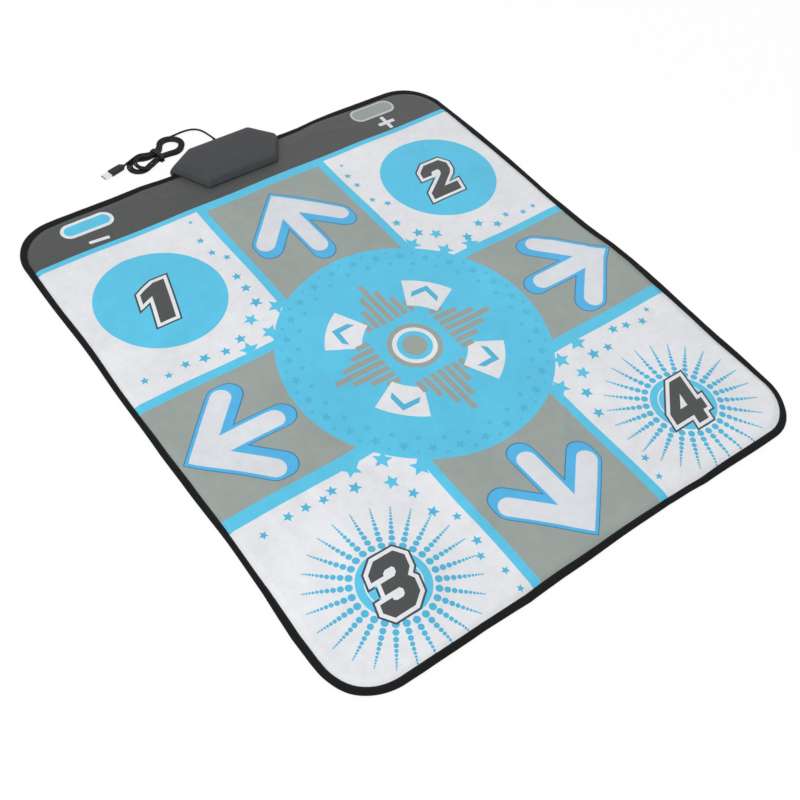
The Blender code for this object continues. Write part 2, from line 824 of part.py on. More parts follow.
def loop_arcs():
    """One loop of the hank as arcs: (middle x, middle y, radius, first angle, sweep). Two
    lobes are joined by waist arcs that touch them and touch each other at the waist."""

    def waist_arc(lobe):
        radius, reach = lobe
        waist = (reach**2 / (radius - WAIST_HALF) - radius - WAIST_HALF) / 2
        return waist, math.atan2(WAIST_HALF + waist, -reach)

    right_waist, right_angle = waist_arc(RIGHT_LOBE)
    left_waist, left_angle = waist_arc(LEFT_LOBE)
    quarter = math.pi / 2
    return [
        (RIGHT_LOBE[1], 0.0, RIGHT_LOBE[0], 0.0, right_angle),
        (0.0, WAIST_HALF + right_waist, right_waist, right_angle - math.pi, quarter - right_angle),
        (0.0, WAIST_HALF + left_waist, left_waist, -quarter, quarter - left_angle),
        (-LEFT_LOBE[1], 0.0, LEFT_LOBE[0], math.pi - left_angle, 2 * left_angle),
        (0.0, -WAIST_HALF - left_waist, left_waist, left_angle, quarter - left_angle),
        (0.0, -WAIST_HALF - right_waist, right_waist, quarter, quarter - right_angle),
        (RIGHT_LOBE[1], 0.0, RIGHT_LOBE[0], -right_angle, right_angle),
    ]


def loop_point(fraction, drawn_in):
    """A point on the loop at a fraction of its length, drawn in towards its middle."""
    arcs = loop_arcs()
    total = sum(abs(radius * sweep) for _, _, radius, _, sweep in arcs)
    left = (fraction % 1.0) * total
    for x, y, radius, first, sweep in arcs:
        length = abs(radius * sweep)
        if left <= length:
            break
        left -= length
    angle = first + sweep * min(left / length, 1.0)
    reach = radius - drawn_in if sweep > 0 else radius + drawn_in
    return x + reach * math.cos(angle), y + reach * math.sin(angle)


def hank_frame(along):
    """Place and heading of the hank's gently curved axis, `along` from its waist."""
    heading = HANK_HEADING + HANK_TURN * along
    x = (math.sin(heading) - math.sin(HANK_HEADING)) / HANK_TURN
    y = (math.cos(HANK_HEADING) - math.cos(heading)) / HANK_TURN
    return Vector((HANK_CENTRE[0] + x, HANK_CENTRE[1] + y, 0.0)), heading


def hank_point(turn):
    """The cable's middle after `turn` turns of the hank."""
    drawn_in = LOOP_PITCH * min(turn, LOOP_TURNS - turn)
    along, across = loop_point(LOOP_START + turn, drawn_in)
    spot, heading = hank_frame(along)
    climb = min(max((turn - LOOP_TURNS / 2 + 0.25) / 0.5, 0.0), 1.0)
    climb = climb * climb * (3 - 2 * climb)
    lift = WAIST_LIFT * math.exp(-((along / WAIST_LIFT_LENGTH) ** 2))
    spot += across * Vector((-math.sin(heading), math.cos(heading), 0.0))
    spot.z = CORD_RADIUS + LAYER_STEP * climb + lift
    return spot


def hank_route():
    """The points of the whole hank."""
    count = round(LOOP_TURNS * POINTS_PER_LOOP)
    return [hank_point(LOOP_TURNS * k / count) for k in range(count + 1)]


def smooth_route(points, spacing):
    """Points `spacing` apart along a smooth curve through `points`."""
    fine = []
    ends = [2 * points[0] - points[1], *points, 2 * points[-1] - points[-2]]
    for a, b, c, d in zip(ends, ends[1:], ends[2:], ends[3:]):
        for k in range(12):
            t = k / 12
            fine.append(
                0.5
                * (
                    2 * b
                    + (c - a) * t
                    + (2 * a - 5 * b + 4 * c - d) * t * t
                    + (3 * b - a - 3 * c + d) * t**3
                )
            )
    fine.append(points[-1].copy())
    total = sum((b - a).length for a, b in zip(fine, fine[1:]))
    step = total / max(round(total / spacing), 2)
    route, run = [fine[0]], 0.0
    for a, b in zip(fine, fine[1:]):
        length = (b - a).length
        while run + length >= step - 1e-6 and length > 1e-9:
            a = a + (b - a) * ((step - run) / length)
            route.append(a)
            run = 0.0
            length = (b - a).length
        run += length
    if (route[-1] - fine[-1]).length < step / 2:
        route.pop()
    return [*route, fine[-1]]


def tube(name, route, finish, bevel_resolution):
    """A cable's tube: a curve with a bevel and filled caps."""
    curve = bpy.data.curves.new(name, "CURVE")
    curve.dimensions = "3D"
    curve.bevel_depth = CORD_RADIUS * MM
    curve.bevel_resolution = bevel_resolution
    curve.use_fill_caps = True
    spline = curve.splines.new("POLY")
    spline.points.add(len(route) - 1)
    for point, spot in zip(spline.points, route):
        point.co = (*(spot * MM), 1.0)
    thing = bpy.data.objects.new(name, curve)
    curve.materials.append(finish)
    bpy.context.scene.collection.objects.link(thing)
    return thing


def route_length(route):
    """The length of a route in millimetres."""
    return sum((b - a).length for a, b in zip(route, route[1:]))


def least_gap(route):
    """The least gap of a wound tube to itself, measured between its points' straights."""
    near = 4 * CORD
    runs = [0.0]
    for a, b in zip(route, route[1:]):
        runs.append(runs[-1] + (b - a).length)
    parts = 4
    samples = []
    for k, (a, b) in enumerate(zip(route, route[1:])):
        for part in range(parts):
            share = part / parts
            samples.append((runs[k] + (runs[k + 1] - runs[k]) * share, a.lerp(b, share)))
    least = 1e9
    for k, (run, spot) in enumerate(samples):
        for other_run, other in samples[k + 1 :]:
            if other_run - run > near:
                least = min(least, (spot - other).length)
    return least - CORD


def build_cable():
    """The lead out of the box, the hank, the tail, the tie and the plug."""
    black = material("cable_jacket", CABLE_BLACK, 0.45)
    hank = hank_route()
    start_along = (hank[1] - hank[0]).normalized()
    end_along = (hank[-1] - hank[-2]).normalized()
    lead_end = hank[0] - start_along * GAP
    plug_axis = Vector((math.cos(PLUG_HEADING), math.sin(PLUG_HEADING), 0.0))
    plug_rear = Vector((*PLUG_REAR, PLUG_Z))
    lead = [
        Vector((CABLE_X, GROMMET_END_Y + GAP, CABLE_Z)),
        Vector((CABLE_X, GROMMET_END_Y + GAP + CORD, CABLE_Z - 0.1)),
        *(Vector(spot) for spot in LEAD_SPOTS),
        lead_end - start_along * CORD,
        lead_end,
    ]
    tail_start = hank[-1] + end_along * GAP
    tail = [
        tail_start,
        tail_start + end_along * CORD,
        plug_rear - plug_axis * (GAP + CORD),
        plug_rear - plug_axis * GAP,
    ]
    lead_route = smooth_route(lead, 2.4 * CORD)
    tail_route = smooth_route(tail, 1.2 * CORD)
    tube("cord_lead", lead_route, black, 2)
    tube("cord_hank", hank, black, 1)
    tube("cord_tail", tail_route, black, 2)
    lengths = [route_length(route) for route in (lead_route, hank, tail_route)]
    print("cable lengths, mm:", [round(length, 1) for length in lengths], round(sum(lengths), 1))
    print("least gap of the hank to itself, mm:", round(least_gap(hank), 3))
    build_tie(black)
    build_plug(plug_rear, plug_axis)


def build_tie(finish):
    """The tie: a flat band round the hank's waist."""
    middle, heading = hank_frame(0.0)
    across = Vector((-math.sin(heading), math.cos(heading), 0.0))
    along = Vector((math.cos(heading), math.sin(heading), 0.0))
    inner_half = WAIST_HALF + CORD_RADIUS + TIE_CLEARANCE
    bottom = 0.1 + TIE_THICK
    top = 2 * CORD_RADIUS + LAYER_STEP + WAIST_LIFT + 0.5
    centre = middle + Vector((0.0, 0.0, (bottom + top) / 2))
    inner = rounded_rectangle(inner_half, (top - bottom) / 2, TIE_CORNER, 3)
    outer = rounded_rectangle(
        inner_half + TIE_THICK, (top - bottom) / 2 + TIE_THICK, TIE_CORNER + TIE_THICK, 3
    )
    bm = bmesh.new()
    rings = []
    for section, side in ((inner, -1), (outer, -1), (outer, 1), (inner, 1)):
        shift = along * (side * TIE_WIDTH / 2)
        rings.append(
            [bm.verts.new(centre + shift + across * x + Vector((0, 0, z))) for x, z in section]
        )
    for near, far in zip(rings, rings[1:] + rings[:1]):
        bridge(bm, near, far)
    place(bm, "hank_tie", finish, smooth=True)


def plug_loft(name, rear, axis, stations, finish, smooth=True):
    """A solid through rounded-rectangle stations (distance, half width, half height,
    corner radius) along the plug's axis."""
    across = Vector((-axis.y, axis.x, 0.0))
    bm = bmesh.new()
    rings = []
    for along, half_x, half_z, radius in stations:
        rings.append(
            [
                bm.verts.new(rear + axis * along + across * x + Vector((0, 0, z)))
                for x, z in rounded_rectangle(half_x, half_z, radius, 3)
            ]
        )
    for near, far in zip(rings, rings[1:]):
        bridge(bm, near, far)
    bm.faces.new(rings[0])
    bm.faces.new(rings[-1])
    return place(bm, name, finish, smooth=smooth)


def latch_cutters(rear, axis, mouth, finish):
    """The tool for the shell's four windows, two through its top and two through its
    bottom, in line with each other."""
    across = Vector((-axis.y, axis.x, 0.0))
    bm = bmesh.new()
    for side in (-1, 1):
        for level in (-1, 1):
            rings = []
            for height in (SHELL_HALF[1] - 2 * SHELL_WALL, SHELL_HALF[1] + SHELL_WALL):
                corners = rectangle(
                    mouth - LATCH_ENDS[1], mouth - LATCH_ENDS[0],
                    side * LATCH_ACROSS - LATCH_HALF, side * LATCH_ACROSS + LATCH_HALF,
                )
                rings.append(
                    [
                        bm.verts.new(
                            rear + axis * along + across * x + Vector((0, 0, level * height))
                        )
                        for along, x in corners
                    ]
                )
            bridge(bm, *rings)
            for ring in rings:
                bm.faces.new(ring)
    return hide_cutter(place(bm, "latch_cutters", finish))


def build_plug(rear, axis):
    """The plug: a soft overmould, a folded steel shell and the contact tongue in it."""
    rubber = material("plug_overmould", CABLE_BLACK, 0.5)
    steel = material("plug_shell_steel", STEEL, 0.25, 1.0)
    white = material("plug_tongue_plastic", TONGUE_WHITE, 0.45)
    overmould_stations = [
        (0.0, 3.4, 3.0, 2.4),
        (2.6, 3.8, 3.1, 2.4),
        (3.4, 6.2, 3.5, 2.6),
        (6.5, 7.2, 3.8, 2.6),
        (22.5, 7.4, 3.9, 2.6),
        (27.2, 7.3, 3.8, 2.6),
        (PLUG_LENGTH, 6.7, 3.3, 2.2),
    ]
    plug_loft("usb_overmould", rear, axis, overmould_stations, rubber)
    start = PLUG_LENGTH + GAP
    mouth = start + SHELL_LENGTH
    inner = (SHELL_HALF[0] - SHELL_WALL, SHELL_HALF[1] - SHELL_WALL)
    shell_stations = [
        (start, *SHELL_HALF, 0.6),
        (mouth, *SHELL_HALF, 0.6),
        (mouth, *inner, 0.3),
        (start + SHELL_BACK, *inner, 0.3),
    ]
    shell = plug_loft("usb_shell", rear, axis, shell_stations, steel)
    boolean(shell, latch_cutters(rear, axis, mouth, steel), "DIFFERENCE")
    tongue_stations = [
        (start + SHELL_BACK + GAP, 5.2, 0.85, 0.2),
        (mouth - 1.2, 5.2, 0.85, 0.2),
    ]
    tongue_rear = rear + Vector((0.0, 0.0, 0.6))
    plug_loft("usb_tongue", tongue_rear, axis, tongue_stations, white, smooth=False)


def main():
    """Builds the whole mat."""
    clear_scene()
    build_layers()
    build_keys()
    build_box()
    build_cable()


main()
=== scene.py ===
"""Looks of an electronic dance mat: printed sheet, edge tape, control box and cable.

The frame holds the mat's solids at their real size. This script models what shows round
them: the printed sheet with its pressure keys, the sewn edge tape, the anti-slip cover,
the control box, and the cable with its tie and its plug. Lengths in the classes are
millimetres, x runs to the mat's right side and y towards the control box, and every mesh
is written in metres. Finishes are in metres and linear colours.
"""

import logging
import math
import random
from collections.abc import Callable, Iterable, Iterator, Sequence
from dataclasses import dataclass, field
from enum import Enum
from typing import Any

import bmesh
import bpy
import numpy as np
from mathutils import Matrix, Vector
from mathutils.geometry import delaunay_2d_cdt
from mathutils.kdtree import KDTree


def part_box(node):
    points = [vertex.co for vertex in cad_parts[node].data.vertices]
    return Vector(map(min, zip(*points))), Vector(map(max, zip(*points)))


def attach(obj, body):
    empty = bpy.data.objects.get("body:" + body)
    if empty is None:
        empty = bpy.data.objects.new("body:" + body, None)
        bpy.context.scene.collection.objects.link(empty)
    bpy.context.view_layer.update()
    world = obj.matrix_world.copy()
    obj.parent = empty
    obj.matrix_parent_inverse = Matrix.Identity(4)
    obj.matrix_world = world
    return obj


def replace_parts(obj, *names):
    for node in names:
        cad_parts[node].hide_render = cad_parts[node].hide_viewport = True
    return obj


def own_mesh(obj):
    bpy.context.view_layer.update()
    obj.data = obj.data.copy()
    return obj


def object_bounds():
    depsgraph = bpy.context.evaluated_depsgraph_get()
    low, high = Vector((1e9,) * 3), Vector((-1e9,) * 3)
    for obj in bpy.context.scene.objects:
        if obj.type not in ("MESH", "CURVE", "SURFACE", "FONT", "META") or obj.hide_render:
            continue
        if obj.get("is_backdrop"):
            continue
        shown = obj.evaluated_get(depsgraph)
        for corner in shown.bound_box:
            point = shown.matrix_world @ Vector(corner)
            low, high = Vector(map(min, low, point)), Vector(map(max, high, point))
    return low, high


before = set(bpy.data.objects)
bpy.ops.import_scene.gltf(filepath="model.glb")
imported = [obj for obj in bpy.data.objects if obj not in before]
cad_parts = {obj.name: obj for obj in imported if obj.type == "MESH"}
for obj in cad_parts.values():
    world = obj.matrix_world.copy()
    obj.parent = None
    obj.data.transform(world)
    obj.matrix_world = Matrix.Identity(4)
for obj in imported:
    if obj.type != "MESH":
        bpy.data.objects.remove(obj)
CAD_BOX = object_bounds()

LOG = logging.getLogger("dance_mat")
MM = 0.001
MAT_BODY = "mat"
Y_AXIS = Vector((0.0, 1.0, 0.0))
Z_AXIS = Vector((0.0, 0.0, 1.0))

Point = tuple[float, float]
Triple = tuple[float, float, float]
Socket = bpy.types.NodeSocket
Piece = bpy.types.Object
Look = tuple[Socket, Socket | None, Socket]


def linear(red: float, green: float, blue: float) -> Triple:
    """Turns a screen colour out of 255 into the linear values that shaders use."""
    shares = (value / 255.0 for value in (red, green, blue))
    return tuple(s / 12.92 if s <= 0.04045 else ((s + 0.055) / 1.055) ** 2.4 for s in shares)


def smooth_step(value: np.ndarray) -> np.ndarray:
    """Eases values from 0 to 1 and holds them at those ends."""
    held = np.clip(value, 0.0, 1.0)
    return held * held * (3.0 - 2.0 * held)


# Drawing shader nodes


class Canvas:
    """A node tree with short calls that add nodes and join them."""

    def __init__(self, tree: bpy.types.NodeTree) -> None:
        """Takes the tree to draw in."""
        self.tree = tree

    def add(self, kind: str, inputs: dict[Any, Any] | None = None, **settings: Any) -> bpy.types.Node:
        """Adds a node.

        Args:
            kind: the node's type.
            inputs: values, or sockets to link, by input name or number.
            settings: the node's own settings.

        Returns:
            The new node.
        """
        node = self.tree.nodes.new(kind)
        for name, value in settings.items():
            setattr(node, name, value)
        for name, value in (inputs or {}).items():
            if isinstance(value, Socket):
                self.tree.links.new(value, node.inputs[name])
            else:
                node.inputs[name].default_value = value
        return node

    def math(self, operation: str, *values: Any) -> Socket:
        """One step of arithmetic."""
        return self.add("ShaderNodeMath", dict(enumerate(values)), operation=operation).outputs[0]

    def span(self, value: Socket, low: float, high: float, start: float = 0.0, end: float = 1.0) -> Socket:
        """Maps a value from low…high to start…end, held at its ends."""
        return self.add("ShaderNodeMapRange", dict(enumerate((value, low, high, start, end)))).outputs[0]

    def noise(self, at: Socket, scale: Any, detail: float = 2.0, distortion: float = 0.0) -> Socket:
        """Smooth noise round one half."""
        inputs = {"Vector": at, "Scale": scale, "Detail": detail, "Distortion": distortion}
        return self.add("ShaderNodeTexNoise", inputs).outputs[0]

    def tint(self, factor: Any, *colours: Any) -> Socket:
        """Mixes two colours, each a socket or linear values."""
        ends = [value if isinstance(value, Socket) else (*value, 1.0) for value in colours]
        return self.add("ShaderNodeMix", dict(zip((0, 6, 7), (factor, *ends))), data_type="RGBA").outputs[2]

    def bump(self, height: Socket, distance: float, below: Socket | None = None) -> Socket:
        """Turns a height into a normal, on top of the normal `below`."""
        inputs = {"Height": height, "Distance": distance, "Strength": 1.0}
        return self.add("ShaderNodeBump", inputs | ({"Normal": below} if below else {})).outputs[0]

    def place(self) -> Socket:
        """The point on the object, in metres."""
        return self.add("ShaderNodeTexCoord").outputs["Object"]

    def effect(self, effect: "Effect", at: Socket, **values: Any) -> Sequence[Socket]:
        """Places a shared effect with this material's own values."""
        node = self.add("ShaderNodeGroup", {"Vector": at, **values}, node_tree=effect.group())
        return node.outputs[:]

    def dusted(self, colour: Socket, at: Socket, amount: float, dust: Triple) -> Socket:
        """Strews specks of dust over a colour."""
        return self.tint(self.effect(Effect.SPECKS, at, Amount=amount)[0], colour, dust)


class Effect(Enum):
    """The effects that several finishes share: name, values besides the place, and outputs."""

    WEAVE = ("plain_weave", ("Pitch",), ("Height", "Crown"))
    MOTTLE = ("mottle", ("Large", "Small"), ("Mask",))
    SPECKS = ("dust_specks", ("Amount",), ("Mask",))
    GRAIN = ("moulded_grain", ("Scale",), ("Height", "Mask"))

    def group(self) -> bpy.types.NodeTree:
        """The effect's node group, built the first time that it is asked for."""
        name, values, outputs = self.value
        made = bpy.data.node_groups.get(name)
        if made is None:
            made = bpy.data.node_groups.new(name, "ShaderNodeTree")
            made.interface.new_socket("Vector", in_out="INPUT", socket_type="NodeSocketVector")
            for way, titles in (("INPUT", values), ("OUTPUT", outputs)):
                for title in titles:
                    made.interface.new_socket(title, in_out=way, socket_type="NodeSocketFloat")
            canvas = Canvas(made)
            drawn = getattr(self, f"_{name}")(canvas, canvas.add("NodeGroupInput").outputs)
            canvas.add("NodeGroupOutput", dict(zip(outputs, drawn)))
        return made

    def _plain_weave(self, canvas: Canvas, given: bpy.types.NodeOutputs) -> tuple[Socket, Socket]:
        """Threads over and under each other, and where they stand highest."""
        apart = canvas.add("ShaderNodeSeparateXYZ", {0: given["Vector"]}).outputs
        turn = canvas.math("DIVIDE", math.pi, given["Pitch"])
        waves = [canvas.math("SINE", canvas.math("MULTIPLY", apart[axis], turn)) for axis in (0, 1)]
        height = canvas.math("MULTIPLY", *waves)
        return height, canvas.span(canvas.math("ABSOLUTE", height), 0.55, 1.0)

    def _mottle(self, canvas: Canvas, given: bpy.types.NodeOutputs) -> tuple[Socket]:
        """Broad and fine blotches together."""
        broad = canvas.noise(given["Vector"], given["Large"], 3.0, 0.6)
        fine = canvas.noise(given["Vector"], given["Small"], 4.0)
        return (canvas.math("MULTIPLY_ADD", fine, 0.4, canvas.math("MULTIPLY", broad, 0.6)),)

    def _dust_specks(self, canvas: Canvas, given: bpy.types.NodeOutputs) -> tuple[Socket]:
        """Sparse small specks."""
        grains = canvas.span(canvas.noise(given["Vector"], 420.0, 1.0), 0.66, 0.74)
        patches = canvas.span(canvas.noise(given["Vector"], 14.0), 0.4, 0.7)
        return (canvas.math("MULTIPLY", canvas.math("MULTIPLY", grains, given["Amount"]), patches),)

    def _moulded_grain(self, canvas: Canvas, given: bpy.types.NodeOutputs) -> tuple[Socket, Socket]:
        """The pebbled skin that a spark-eroded mould leaves."""
        at = {name: given[name] for name in ("Vector", "Scale")}
        cells = canvas.add("ShaderNodeTexVoronoi", at, feature="SMOOTH_F1").outputs["Distance"]
        return canvas.span(cells, 0.0, 0.8, 1.0, 0.0), canvas.noise(given["Vector"], 60.0, 4.0, 0.4)


# Finishes


@dataclass(frozen=True)
class Finish:
    """A surface finish. Each kind of finish draws its own pattern over a plain shader."""

    name: str
    colour: Triple
    roughness: float = 0.5
    metallic: float = 0.0
    specular: float = field(default=0.5, kw_only=True)
    sheen: float = field(default=0.0, kw_only=True)

    def material(self) -> bpy.types.Material:
        """The finish's material, built the first time that it is asked for."""
        made = bpy.data.materials.get(f"{self.name}_finish")
        if made is None:
            made = bpy.data.materials.new(f"{self.name}_finish")
            made.use_nodes = True
            made.diffuse_color = (*self.colour, 1.0)
            inputs = made.node_tree.nodes["Principled BSDF"].inputs
            inputs["Base Color"].default_value = made.diffuse_color
            inputs["Roughness"].default_value = self.roughness
            inputs["Metallic"].default_value = self.metallic
            inputs["Specular IOR Level"].default_value = self.specular
            inputs["Sheen Weight"].default_value = self.sheen
            look = self.pattern(Canvas(made.node_tree))
            for name, socket in zip(("Base Color", "Roughness", "Normal"), look):
                if socket:
                    made.node_tree.links.new(socket, inputs[name])
        return made

    def pattern(self, canvas: Canvas) -> Look:
        """Draws what varies over the surface.

        Args:
            canvas: the material's nodes.

        Returns:
            Colour, roughness and normal. A roughness of None stays the same all over.
        """
        raise NotImplementedError

    def shifted(
        self, canvas: Canvas, mask: Socket, share: float, gain: float, lift: float = 0.0,
        ends: Point = (0.3, 0.7),
    ) -> Socket:
        """The finish's colour, mixed by a mask with itself times `gain` plus `lift`."""
        other = tuple(value * gain + lift for value in self.colour)
        return canvas.tint(canvas.span(mask, *ends, 0.0, share), self.colour, other)

    def rough(self, canvas: Canvas, mask: Socket, less: float, more: float) -> Socket:
        """The finish's roughness, varied by a mask."""
        return canvas.span(mask, 0.3, 0.7, self.roughness - less, self.roughness + more)


@dataclass(frozen=True)
class PrintedCloth(Finish):
    """Coated woven cloth whose print colours come from the mesh's `ink` attribute."""

    def pattern(self, canvas: Canvas) -> Look:
        """The print, its slight unevenness, the weave and fine creases."""
        at = canvas.place()
        ink = canvas.add("ShaderNodeAttribute", attribute_name="ink").outputs["Color"]
        threads, crown = canvas.effect(Effect.WEAVE, at, Pitch=0.00085)
        mottle, = canvas.effect(Effect.MOTTLE, at, Large=9.0, Small=75.0)
        shade = {0: ink, "Scale": canvas.span(mottle, 0.32, 0.68, 0.9, 1.06)}
        shaded = canvas.add("ShaderNodeVectorMath", shade, operation="SCALE").outputs[0]
        rubbed = canvas.tint(canvas.math("MULTIPLY", crown, 0.02), shaded, (0.8, 0.82, 0.84))
        colour = canvas.dusted(rubbed, at, amount=0.35, dust=(0.3, 0.3, 0.29))
        creases = canvas.bump(canvas.noise(at, 95.0, 3.0, 0.8), 0.0007)
        return colour, self.rough(canvas, mottle, 0.07, 0.09), canvas.bump(threads, 0.00006, creases)


@dataclass(frozen=True)
class WovenTape(Finish):
    """Ribbed woven tape. Its pattern follows the `tape` UV map, in metres along it."""

    def pattern(self, canvas: Canvas) -> Look:
        """Ribs across the tape with threads running over them."""
        along = canvas.add("ShaderNodeUVMap", uv_map="tape").outputs[0]
        ribs, crown = canvas.effect(Effect.WEAVE, along, Pitch=0.0011)
        mottle, = canvas.effect(Effect.MOTTLE, canvas.place(), Large=22.0, Small=160.0)
        worn = canvas.math("MULTIPLY", crown, mottle)
        colour = self.shifted(canvas, worn, share=0.8, gain=1.7, lift=0.003, ends=(0.1, 0.6))
        waves = canvas.bump(canvas.noise(canvas.place(), 130.0), 0.0006)
        return colour, self.rough(canvas, mottle, 0.08, 0.08), canvas.bump(ribs, 0.00014, waves)


@dataclass(frozen=True)
class CoverCloth(Finish):
    """The knitted anti-slip cover."""

    def pattern(self, canvas: Canvas) -> Look:
        """A coarse knit with lint in it."""
        at = canvas.place()
        knit, _ = canvas.effect(Effect.WEAVE, at, Pitch=0.0016)
        mottle, = canvas.effect(Effect.MOTTLE, at, Large=12.0, Small=90.0)
        colour = self.shifted(canvas, mottle, share=0.7, gain=1.9, lift=0.004)
        linty = canvas.dusted(colour, at, amount=0.5, dust=(0.22, 0.22, 0.21))
        return linty, None, canvas.bump(knit, 0.0002)


@dataclass(frozen=True)
class MouldedPlastic(Finish):
    """Plastic from a grained mould."""

    grain_scale: float = 1500.0
    grain_depth: float = 0.00004

    def pattern(self, canvas: Canvas) -> Look:
        """Mould grain, faint flow marks and a little dust."""
        at = canvas.place()
        grain, flow = canvas.effect(Effect.GRAIN, at, Scale=self.grain_scale)
        colour = self.shifted(canvas, flow, share=1.0, gain=1.24, lift=0.003)
        dusty = canvas.dusted(colour, at, amount=0.1, dust=(0.25, 0.25, 0.25))
        return dusty, self.rough(canvas, flow, 0.06, 0.07), canvas.bump(grain, self.grain_depth)


@dataclass(frozen=True)
class SoftPlastic(Finish):
    """Smooth flexible plastic, as on a cable's jacket."""

    def pattern(self, canvas: Canvas) -> Look:
        """Handling marks and a very shallow ripple."""
        at = canvas.place()
        mottle, = canvas.effect(Effect.MOTTLE, at, Large=55.0, Small=420.0)
        colour = self.shifted(canvas, mottle, share=0.8, gain=1.5, lift=0.002)
        ripple = canvas.bump(canvas.noise(at, 500.0), 0.00005)
        return colour, self.rough(canvas, mottle, 0.08, 0.12), ripple


@dataclass(frozen=True)
class DrawnMetal(Finish):
    """Plated sheet or wire with fine drawing marks."""

    def pattern(self, canvas: Canvas) -> Look:
        """Scratches one way and smudges."""
        at = canvas.place()
        drawn = canvas.add("ShaderNodeMapping", {"Vector": at, "Scale": (1.0, 14.0, 1.0)}).outputs[0]
        marks = canvas.noise(drawn, 900.0, 3.0)
        smudge = canvas.noise(at, 160.0, 3.0)
        colour = self.shifted(canvas, smudge, share=0.7, gain=0.72, ends=(0.35, 0.7))
        return colour, self.rough(canvas, marks, 0.07, 0.12), canvas.bump(marks, 0.00002)


@dataclass(frozen=True)
class OpenFoam(Finish):
    """Cut sheet foam with open cells."""

    def pattern(self, canvas: Canvas) -> Look:
        """Round cells whose hollow middles are darkened with painted shade."""
        voronoi = canvas.add("ShaderNodeTexVoronoi", {"Vector": canvas.place(), "Scale": 950.0})
        cells = voronoi.outputs["Distance"]
        # Painted shade: the colour darkens towards each cell's hollow middle, where the bump sinks.
        pore_shade = tuple(value * 0.55 for value in self.colour)
        colour = canvas.tint(canvas.span(cells, 0.1, 0.6, 1.0, 0.0), self.colour, pore_shade)
        return colour, None, canvas.bump(cells, 0.0003)


@dataclass(frozen=True)
class ContactPrint(Finish):
    """Film or board with a printed grid of conductors."""

    line: Triple = (0.4, 0.4, 0.4)
    pitch: float = 0.004

    def pattern(self, canvas: Canvas) -> Look:
        """Conductor lines both ways over a slightly cloudy base."""
        at = canvas.place()
        grid, _ = canvas.effect(Effect.WEAVE, at, Pitch=self.pitch)
        cloudy, = canvas.effect(Effect.MOTTLE, at, Large=20.0, Small=200.0)
        lines = canvas.span(grid, 0.0, 0.12)
        colour = canvas.tint(lines, self.colour, self.line)
        return colour, self.rough(canvas, cloudy, 0.08, 0.1), canvas.bump(lines, 0.00003)


CLOTH = PrintedCloth("printed_cloth", linear(229, 231, 236), 0.52, specular=0.42, sheen=0.06)
TAPE = WovenTape("woven_tape", linear(23, 24, 24), 0.8, specular=0.1, sheen=0.02)
THREAD = SoftPlastic("stitching_thread", linear(36, 37, 38), 0.6, specular=0.15)
COVER = CoverCloth("anti_slip_cloth", linear(38, 38, 41), 0.85, specular=0.25, sheen=0.15)
GRIP_DOT = SoftPlastic("grip_dot_rubber", linear(28, 28, 30), 0.6, specular=0.3)
BOX_PLASTIC = MouldedPlastic("grained_box_plastic", linear(54, 55, 58), 0.56, specular=0.32)
INNER_PLASTIC = MouldedPlastic("plain_inner_plastic", linear(60, 61, 64), 0.5, 0.0, 900.0)
SLEEVE_RUBBER = SoftPlastic("sleeve_rubber", linear(24, 25, 26), 0.55, specular=0.2)
JACKET = SoftPlastic("cable_jacket", linear(16, 17, 18), 0.4, specular=0.2)
TIE_PLASTIC = SoftPlastic("tie_plastic", linear(16, 17, 18), 0.42, specular=0.25)
OVERMOULD = MouldedPlastic(
    "plug_overmould", linear(30, 33, 32), 0.48, 0.0, 1900.0, 0.00003, specular=0.25
)
PLUG_STEEL = DrawnMetal("plug_shell_steel", linear(238, 238, 234), 0.24, 1.0)
SCREW_STEEL = DrawnMetal("screw_steel", linear(200, 200, 198), 0.33, 1.0)
CONTACT_GOLD = DrawnMetal("contact_gold", linear(222, 184, 96), 0.25, 1.0)
TONGUE = SoftPlastic("tongue_plastic", linear(232, 232, 228), 0.45)
FOAM = OpenFoam("layer_foam", linear(150, 152, 154), 0.95)
FILM = ContactPrint("contact_film", linear(196, 202, 198), 0.3, 0.0, linear(150, 152, 156), 0.02)
CARBON = ContactPrint("contact_ink", linear(120, 122, 124), 0.42, 0.0, linear(84, 86, 88), 0.003)
BOARD = ContactPrint("circuit_board", linear(26, 92, 54), 0.36, 0.0, linear(38, 118, 66), 0.0012)
CHIP = MouldedPlastic("chip_black", linear(30, 30, 32), 0.5, 0.0, 2600.0, 0.00002)


# Work on meshes


def new_piece(name: str, data: bpy.types.ID) -> Piece:
    """A new object in the scene that shows this data."""
    data.name = name
    piece = bpy.data.objects.new(name, data)
    bpy.context.scene.collection.objects.link(piece)
    return piece


def mesh_piece(name: str, points: np.ndarray, faces: Iterable[Sequence[int]]) -> Piece:
    """Makes an object at the origin from points in millimetres and their faces."""
    mesh = bpy.data.meshes.new(name)
    mesh.from_pydata((np.asarray(points, float) * MM).tolist(), [], [list(f) for f in faces])
    mesh.update()
    return new_piece(name, mesh)


def ring_faces(count: int, sides: int, closed: bool) -> list[tuple[int, ...]]:
    """The faces between rings of points, and over both ends where the rings don't close up."""
    faces = []
    for k in range(count if closed else count - 1):
        near, far = k * sides, (k + 1) % count * sides
        faces += [(near + s, near + (s + 1) % sides, far + (s + 1) % sides, far + s) for s in range(sides)]
    if not closed:
        faces += [tuple(range(sides))[::-1], tuple(range((count - 1) * sides, count * sides))]
    return faces


